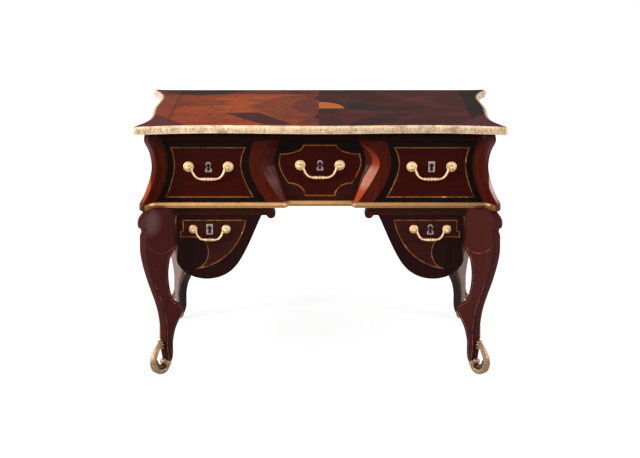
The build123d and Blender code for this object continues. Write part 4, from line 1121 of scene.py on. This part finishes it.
def scroll_foot(bm, place, outer):
    """The scroll with its volute's balls, a dark sheet of painted shade inside it, its knob and leaves, and
    a beaded trim up the leg's arris.
    """
    skin(bm, swept(even(spline(FOOT_SCROLL), 110), foot_section, place))
    for across in (-0.5 * FOOT_WIDTH, 0.5 * FOOT_WIDTH):
        ball(bm, place(*FOOT_BALL, across), [FOOT_BALL_RADIUS] * 3)
        ball(bm, place(*FOOT_BALL, FOOT_BOSS_OUT * across), [FOOT_BOSS_SHARE * FOOT_BALL_RADIUS] * 3, 14, 8)
    # painted shade: the dark sheet inside the scroll
    skin(bm, swept(even(spline(FOOT_SHADE_SHEET), 24), lambda share: round_section(*FOOT_SHADE_SHEET_HALF), place),
         cut=lambda level, k: 1.0)
    for reach, z, radius, half in FOOT_KNOB:
        ball(bm, place(reach, z, 0), (radius, radius, half))
    for leaf in range(LEAVES):
        reach, z = (start + step * leaf for start, step in zip(LEAF_START, LEAF_STEP))
        half = LEAF_HALF_HEIGHT - LEAF_SHRINK * leaf
        ball(bm, place(reach, z, 0), (LEAF_RADIUS, LEAF_RADIUS, half), 12, 8)
    count = int((TRIM_TOP - TRIM_BOTTOM) / TRIM_PITCH)
    for bead in range(count):
        z = TRIM_BOTTOM + (bead + 0.5) * TRIM_PITCH
        reach = np.interp(z, outer[:, 0], outer[:, 1]) - TRIM_SUNK
        size = TRIM_RADIUS * (1.15 - 0.4 * bead / count)
        ball(bm, place(reach, z, TRIM_ACROSS), (size, size, size * 1.25), 12, 8)


class DESK_OT_feet(bpy.types.Operator):
    """Scroll the four gilt feet, with their volutes, knobs and beaded trims"""

    bl_idname = "desk.feet"
    bl_label = "Scroll feet"

    def execute(self, context):
        material = gilt_finish("foot_gilding", gilding().feet, tint(70, 46, 30), 0.6, 0.34, flecks=0.2)
        outer = spline(LEG_OUTER)[::-1]
        for corner, side, fore in CORNERS:
            bm = bmesh.new()
            scroll_foot(bm, leg_frame(side, fore), outer)
            settle(bm, "scroll", f"foot_{corner}", material, "desk", 40)
        return {"FINISHED"}


# ------------------------------------------------------------------ pulls
PIVOT_STANDOFF = 0.014
UPPER = {"z": 0.662, "half": 0.0605, "rosette": 0.0161, "drop": 0.0360}
LOWER = {"z": 0.464, "half": 0.0510, "rosette": 0.0135, "drop": 0.0303}
PULLS = {  # middle of the pull, surface and back of the front, sizes
    "upper_drawer_left": (-0.3405, -0.24605, -0.222, UPPER),
    "middle_drawer": (0.0, -0.22405, -0.200, UPPER),
    "upper_drawer_right": (0.3405, -0.24605, -0.222, UPPER),
    "lower_drawer_left": (-0.3405, -0.244, -0.220, LOWER),
    "lower_drawer_right": (0.3405, -0.244, -0.220, LOWER),
}
ROSETTE_PROFILE = (  # share of the rosette's radius, height in metres: rim, hollow, dome and neck
    (0.00, -0.0002), (0.96, -0.0002), (1.00, 0.0006), (0.98, 0.0016), (0.90, 0.0023), (0.80, 0.0022),
    (0.74, 0.0027), (0.62, 0.0043), (0.46, 0.0056), (0.34, 0.0060), (0.30, 0.0064), (0.25, 0.0080),
    (0.24, 0.0100),
)
# painted shade of each ring, darkest at the rim's foot, in the hollow and at the neck
ROSETTE_SHADE = (1, 0.9, 0.5, 0.1, 0.5, 0.9, 0.7, 0.1, 0.0, 0.3, 0.9, 1, 0.8)
PETALS = 14
KNOB_PROFILE = (  # radius, distance from the drawer's face: neck, knob and finial
    (0.0, 0.0060), (0.0046, 0.0062), (0.0042, 0.0078), (0.0052, 0.0092), (0.0064, 0.0120), (0.0066, 0.0145),
    (0.0060, 0.0172), (0.0042, 0.0194), (0.0022, 0.0202), (0.0018, 0.0212), (0.0, 0.0214),
)
NUT_PROFILE = (  # radius, distance behind the front: shank, nut and the shank's end
    (0.0025, 0.0), (0.00552, 0.0), (0.0060, 0.0006), (0.0060, 0.0034), (0.00552, 0.0040), (0.0025, 0.0040),
    (0.0025, 0.0056), (0.0, 0.0060),
)
BAIL_SWELLS = (  # distance from the bail's middle, radius: centre bead, baluster, collars and arm
    (0.0, 0.0064), (0.0016, 0.0060), (0.0028, 0.0038), (0.0038, 0.0032), (0.0050, 0.0042),
    (0.0080, 0.0051), (0.0115, 0.0052), (0.0150, 0.0043), (0.0168, 0.0034), (0.0180, 0.0048),
    (0.0198, 0.0049), (0.0212, 0.0036), (0.0245, 0.0034), (0.0360, 0.0032), (0.0600, 0.0033),
    (0.0900, 0.0035),
)
BAIL_CURVE = ((1, 0), (0.93, -0.42), (0.66, -0.90), (0.30, -1), (0, -1))  # shares of the arm and of the drop
BAIL_INSET = 0.0097  # arms inside the middles of the knobs
PIN_PROFILE = (  # radius, distance outwards from the arm: its eye and the pin
    (0.0, -0.0026), (0.0022, -0.0022), (0.0030, -0.0010), (0.0030, 0.0010), (0.0022, 0.0022),
    (0.0020, 0.0024), (0.0020, 0.0090), (0.0, 0.0092),
)


def lathe(bm, profile_points, centre, out, steps):
    """Turn a profile of (radius, height) about an axis that leaves centre in the direction out."""
    out = Vector(out)
    side = out.orthogonal().normalized()
    verts = [bm.verts.new(Vector(centre) + side * radius + out * height)
             for radius, height in profile_points]
    edges = [bm.edges.new(pair) for pair in zip(verts, verts[1:])]
    bmesh.ops.spin(bm, geom=verts + edges, cent=centre, axis=out, angle=2 * math.pi, steps=steps,
                   use_merge=True)


def rosette(bm, centre, radius, steps=84):
    """Domed rosette with a petalled rim, on the drawer's face at centre."""
    rings = []
    for share, height in ROSETTE_PROFILE:
        ring = []
        for k in range(steps):
            angle = 2 * math.pi * k / steps
            petal = abs(math.cos(PETALS / 2 * angle)) ** 0.5
            lobed = 1 - 0.05 * (1 - petal) * (share > 0.7)
            lift = height - 0.0009 * (1 - petal) * (0.3 < share < 0.8)
            reach = max(share * radius * lobed, 1e-5)
            ring.append(centre + Vector((reach * math.cos(angle), -lift, reach * math.sin(angle))))
        rings.append(ring)

    # painted shade: the rings' shade, more on the rosette's lower side
    def cut(level, place):
        below = 0.5 - 0.5 * (rings[level][place].z - centre.z) / radius
        return ROSETTE_SHADE[level] * (0.55 + 0.45 * below)

    skin(bm, rings, cut=cut)


def pull_mounts(name, material):
    """Two rosettes with their knobs, shanks and nuts."""
    x, face, back, size = PULLS[name]
    bm = bmesh.new()
    shank = [(0.0, 0.0005), (NUT_PROFILE[0][0], 0.0005)]
    nut = [(radius, face - back - behind) for radius, behind in NUT_PROFILE]
    for side in (-1, 1):
        centre = Vector((x + side * size["half"], face, size["z"]))
        rosette(bm, centre, size["rosette"])
        lathe(bm, KNOB_PROFILE, centre, (0, -1, 0), 32)
        lathe(bm, shank + nut, centre, (0, -1, 0), 24)
    settle(bm, "turned", f"{name}_pull_mounts", material, name, 30)


def bail(name, material):
    """Swan-necked bail with a baluster grip, hanging from pins in the two knobs."""
    x, face, _, size = PULLS[name]
    pivot_y = face - PIVOT_STANDOFF
    arm = size["half"] - BAIL_INSET
    half = spline(np.array(BAIL_CURVE) * (arm, size["drop"]), (0.1, -1), (-1, 0))
    path = even(np.vstack([half, (half * MIRRORED)[::-1][1:]]), 260)
    total = lengths(path)[-1]
    scale = size["half"] / UPPER["half"]

    def section(share):
        from_middle = abs(share - 0.5) * total / scale
        radius = float(np.interp(from_middle, *zip(*BAIL_SWELLS))) * (0.35 + 0.65 * scale)
        return round_section(radius, radius)

    def place(across, up, out):
        return Vector((x + across, pivot_y + out, size["z"] + up))

    bm = bmesh.new()
    skin(bm, swept(path, section, place))
    for side in (-1, 1):
        lathe(bm, PIN_PROFILE, (x + side * arm, pivot_y, size["z"]), (side, 0, 0), 20)
    settle(bm, "forged", f"{name}_bail", material, f"{name}_pull", 30)


class DESK_OT_pulls(bpy.types.Operator):
    """Turn the rosettes and forge the bails of the five drawers"""

    bl_idname = "desk.pulls"
    bl_label = "Brass pulls"

    def execute(self, context):
        material = brass_finish()
        for name in DRAWERS:
            pull_mounts(name, material)
            bail(name, material)
        wear(plate_finish(), *[f"{name}_lock" for name in DRAWERS])
        return {"FINISHED"}


# ------------------------------------------------------------------ veneers of the boards
PAINTED_HIGHLIGHTS = {  # colours of the painted highlights by the share of the case's height, on the stiles' bevels and on the posts' corners
    "left": (((0.0, (96, 44, 38)), (0.20, (108, 60, 54)), (0.32, (122, 80, 74)), (0.46, (98, 54, 48)),
              (0.60, (84, 34, 28)), (0.80, (80, 30, 25)), (0.95, (56, 20, 17))),
             ((0.0, (104, 38, 20)), (0.10, (170, 74, 34)), (0.30, (184, 82, 38)), (0.42, (150, 60, 30)))),
    "right": (((0.0, (190, 80, 44)), (0.17, (190, 82, 46)), (0.26, (216, 138, 112)), (0.50, (210, 132, 106)),
               (0.60, (176, 68, 38)), (0.76, (142, 54, 36)), (0.95, (92, 36, 28))),
              ((0.0, (120, 52, 38)), (0.10, (206, 160, 150)), (0.30, (226, 196, 190)),
               (0.42, (206, 160, 150)))),
}


class DESK_OT_veneers(bpy.types.Operator):
    """Lay the marquetry, veneers and plain woods on the boards"""

    bl_idname = "desk.veneers"
    bl_label = "Veneers"

    def execute(self, context):
        wood = woods()
        wear(marquetry_finish(), "top_panel")
        for hand, (bevel, corner) in PAINTED_HIGHLIGHTS.items():
            wear(case_finish(f"stile_rosewood_{hand}", bevel_highlight, bevel), f"inner_stile_{hand}")
            wear(case_finish(f"post_rosewood_{hand}", corner_highlight, corner), f"front_post_{hand}")
        wear(case_finish("case_rosewood"), "rear_post_left", "rear_post_right")
        wear(side_finish(), "side_panel_left", "side_panel_right")
        wear(frieze_finish(), "frieze_rail", "lower_rail_left", "lower_rail_right")
        wear(veneer_finish("side_drawer_veneer", wood.panel, upper_panel, wood.ebony, 0.0036),
             "upper_drawer_left_front", "upper_drawer_right_front")
        wear(veneer_finish("middle_drawer_veneer", wood.panel, cartouche, tint(15, 7, 5), 0.0038,
                           tint(48, 17, 13)), "middle_drawer_front")
        wear(veneer_finish("pendant_veneer", tint(52, 22, 18), pendant, tint(34, 14, 14), 0.0032),
             "lower_drawer_left_front", "lower_drawer_right_front")
        wear(plain_finish("apron_rosewood", tint(74, 34, 26), specular=0.2, low=0.3, high=0.45),
             "side_apron_left", "side_apron_right", "back_aprons", "base_board")
        wear(plain_finish("back_boards", tint(112, 70, 46), UPRIGHT), "back_panel")
        wear(plain_finish("carcase_wood", tint(120, 84, 56)), "partitions", "lower_cheeks", "drawer_guides")
        wear(plain_finish("drawer_oak", wood.oak, CROSSWISE), *[f"{name}_box" for name in DRAWERS])
        return {"FINISHED"}


# ------------------------------------------------------------------ stage
FLOOR_SIZE = 14
FLOOR_GREY = 0.30
FLOOR_GLOW = 0.80
FLOOR_FADE = 0.9
SENSOR_WIDTH = 36
LAMPS = (  # name, power's property and the share of it, size, place, target
    ("key", "key_power", 1, 1.4, (-2.3, -2.4, 3.1), (0, -0.1, 0.5)),
    ("fill", "fill_power", 1, 1.6, (2.6, -2.2, 2.6), (0, 0, 0.5)),
    ("overhead", "top_power", 1, 2.2, (0.2, -0.3, 3.4), (0, 0, 0.6)),
    ("left_side", "side_power", 1, 0.9, (-2.8, -1.25, 0.95), (-0.3, -0.2, 0.55)),
    ("right_side", "side_power", 0.5, 0.9, (2.8, -1.25, 0.95), (0.3, -0.2, 0.55)),
)


def lamp(name, power, size, place, target):
    """A large square lamp aimed at a point."""
    data = bpy.data.lights.new(name, "AREA")
    data.energy = power
    data.size = size
    lit = bpy.data.objects.new(name, data)
    lit.location = place
    lit.rotation_euler = (Vector(target) - Vector(place)).to_track_quat("-Z", "Y").to_euler()
    bpy.context.scene.collection.objects.link(lit)


def seen_by_eye(tree):
    """1 for rays from the camera and for reflections, 0 for the light that falls on things."""
    path = tree.nodes.new("ShaderNodeLightPath")
    flags = ("Is Camera Ray", "Is Glossy Ray", "Is Transmission Ray")
    return most(*[Field(tree, path.outputs[flag]) for flag in flags])


class DESK_OT_stage(bpy.types.Operator):
    """Set the floor, the lamps and the camera"""

    bl_idname = "desk.stage"
    bl_label = "Stage"

    def execute(self, context):
        stage = context.scene.desk_stage
        bm = bmesh.new()
        bmesh.ops.create_grid(bm, x_segments=2, y_segments=2, size=FLOOR_SIZE)
        mesh = bpy.data.meshes.new("floor")
        bm.to_mesh(mesh)
        bm.free()
        floor = bpy.data.objects.new("floor", mesh)
        context.scene.collection.objects.link(floor)
        paint = Finish("floor_paint", Roughness=0.9, Specular_IOR_Level=0.0)
        paint.set(Base_Color=[FLOOR_GREY] * 3)
        x, y, _ = paint.axes()
        far = edge((x ** 2 + y ** 2) ** 0.5, FLOOR_FADE, FLOOR_FADE)
        glow = seen_by_eye(paint.tree) * (FLOOR_GLOW + (1 - FLOOR_GLOW) * far)
        shine = paint.node("Emission", {"Color": (1, 1, 1), "Strength": glow})
        both = paint.node("AddShader", {0: Field(paint.tree, paint.shader.outputs[0]), 1: shine})
        paint.tree.links.new(both.socket, paint.tree.nodes["Material Output"].inputs["Surface"])
        mesh.materials.append(paint.material)

        world = bpy.data.worlds.new("studio")
        world.use_nodes = True
        context.scene.world = world
        backdrop = world.node_tree.nodes["Background"]
        backdrop.inputs["Color"].default_value = (1, 1, 1, 1)
        eye = seen_by_eye(world.node_tree)
        plug(world.node_tree, backdrop.inputs["Strength"], eye * (1 - stage.sky) + stage.sky)

        for name, source, share, size, place, target in LAMPS:
            lamp(name, getattr(stage, source) * share, size, place, target)

        data = bpy.data.cameras.new("camera")
        data.lens = stage.lens
        data.sensor_width = SENSOR_WIDTH
        camera = bpy.data.objects.new("camera", data)
        camera.location = (0, -stage.camera_distance, stage.camera_height)
        camera.rotation_euler = (stage.camera_tilt, 0, 0)
        context.scene.collection.objects.link(camera)
        context.scene.camera = camera
        context.scene.view_settings.view_transform = "Standard"
        return {"FINISHED"}


# ------------------------------------------------------------------ add-on
OPERATORS = (DESK_OT_stage, DESK_OT_veneers, DESK_OT_top_edge, DESK_OT_waist, DESK_OT_legs, DESK_OT_feet,
             DESK_OT_pulls)


class DESK_PT_sidebar(bpy.types.Panel):
    """Lists the steps that dress the desk and what may be changed"""

    bl_idname = "DESK_PT_sidebar"
    bl_label = "Bureau Mazarin"
    bl_space_type = "VIEW_3D"
    bl_region_type = "UI"
    bl_category = "Desk"

    def draw(self, context):
        for operator in OPERATORS:
            self.layout.operator(operator.bl_idname)
        for name, group in GROUPS.items():
            box = self.layout.box()
            for key in group.__annotations__:
                box.prop(getattr(context.scene, name), key)


def register():
    for group in GROUPS.values():
        bpy.utils.register_class(group)
    for name, group in GROUPS.items():
        setattr(bpy.types.Scene, name, PointerProperty(type=group))
    for operator in OPERATORS:
        bpy.utils.register_class(operator)
    bpy.utils.register_class(DESK_PT_sidebar)


def unregister():
    bpy.utils.unregister_class(DESK_PT_sidebar)
    for operator in reversed(OPERATORS):
        bpy.utils.unregister_class(operator)
    for name, group in GROUPS.items():
        delattr(bpy.types.Scene, name)
        bpy.utils.unregister_class(group)


def main():
    register()
    for step in ("stage", "veneers", "top_edge", "waist", "legs", "feet", "pulls"):
        getattr(bpy.ops.desk, step)()


if __name__ == "__main__":
    main()
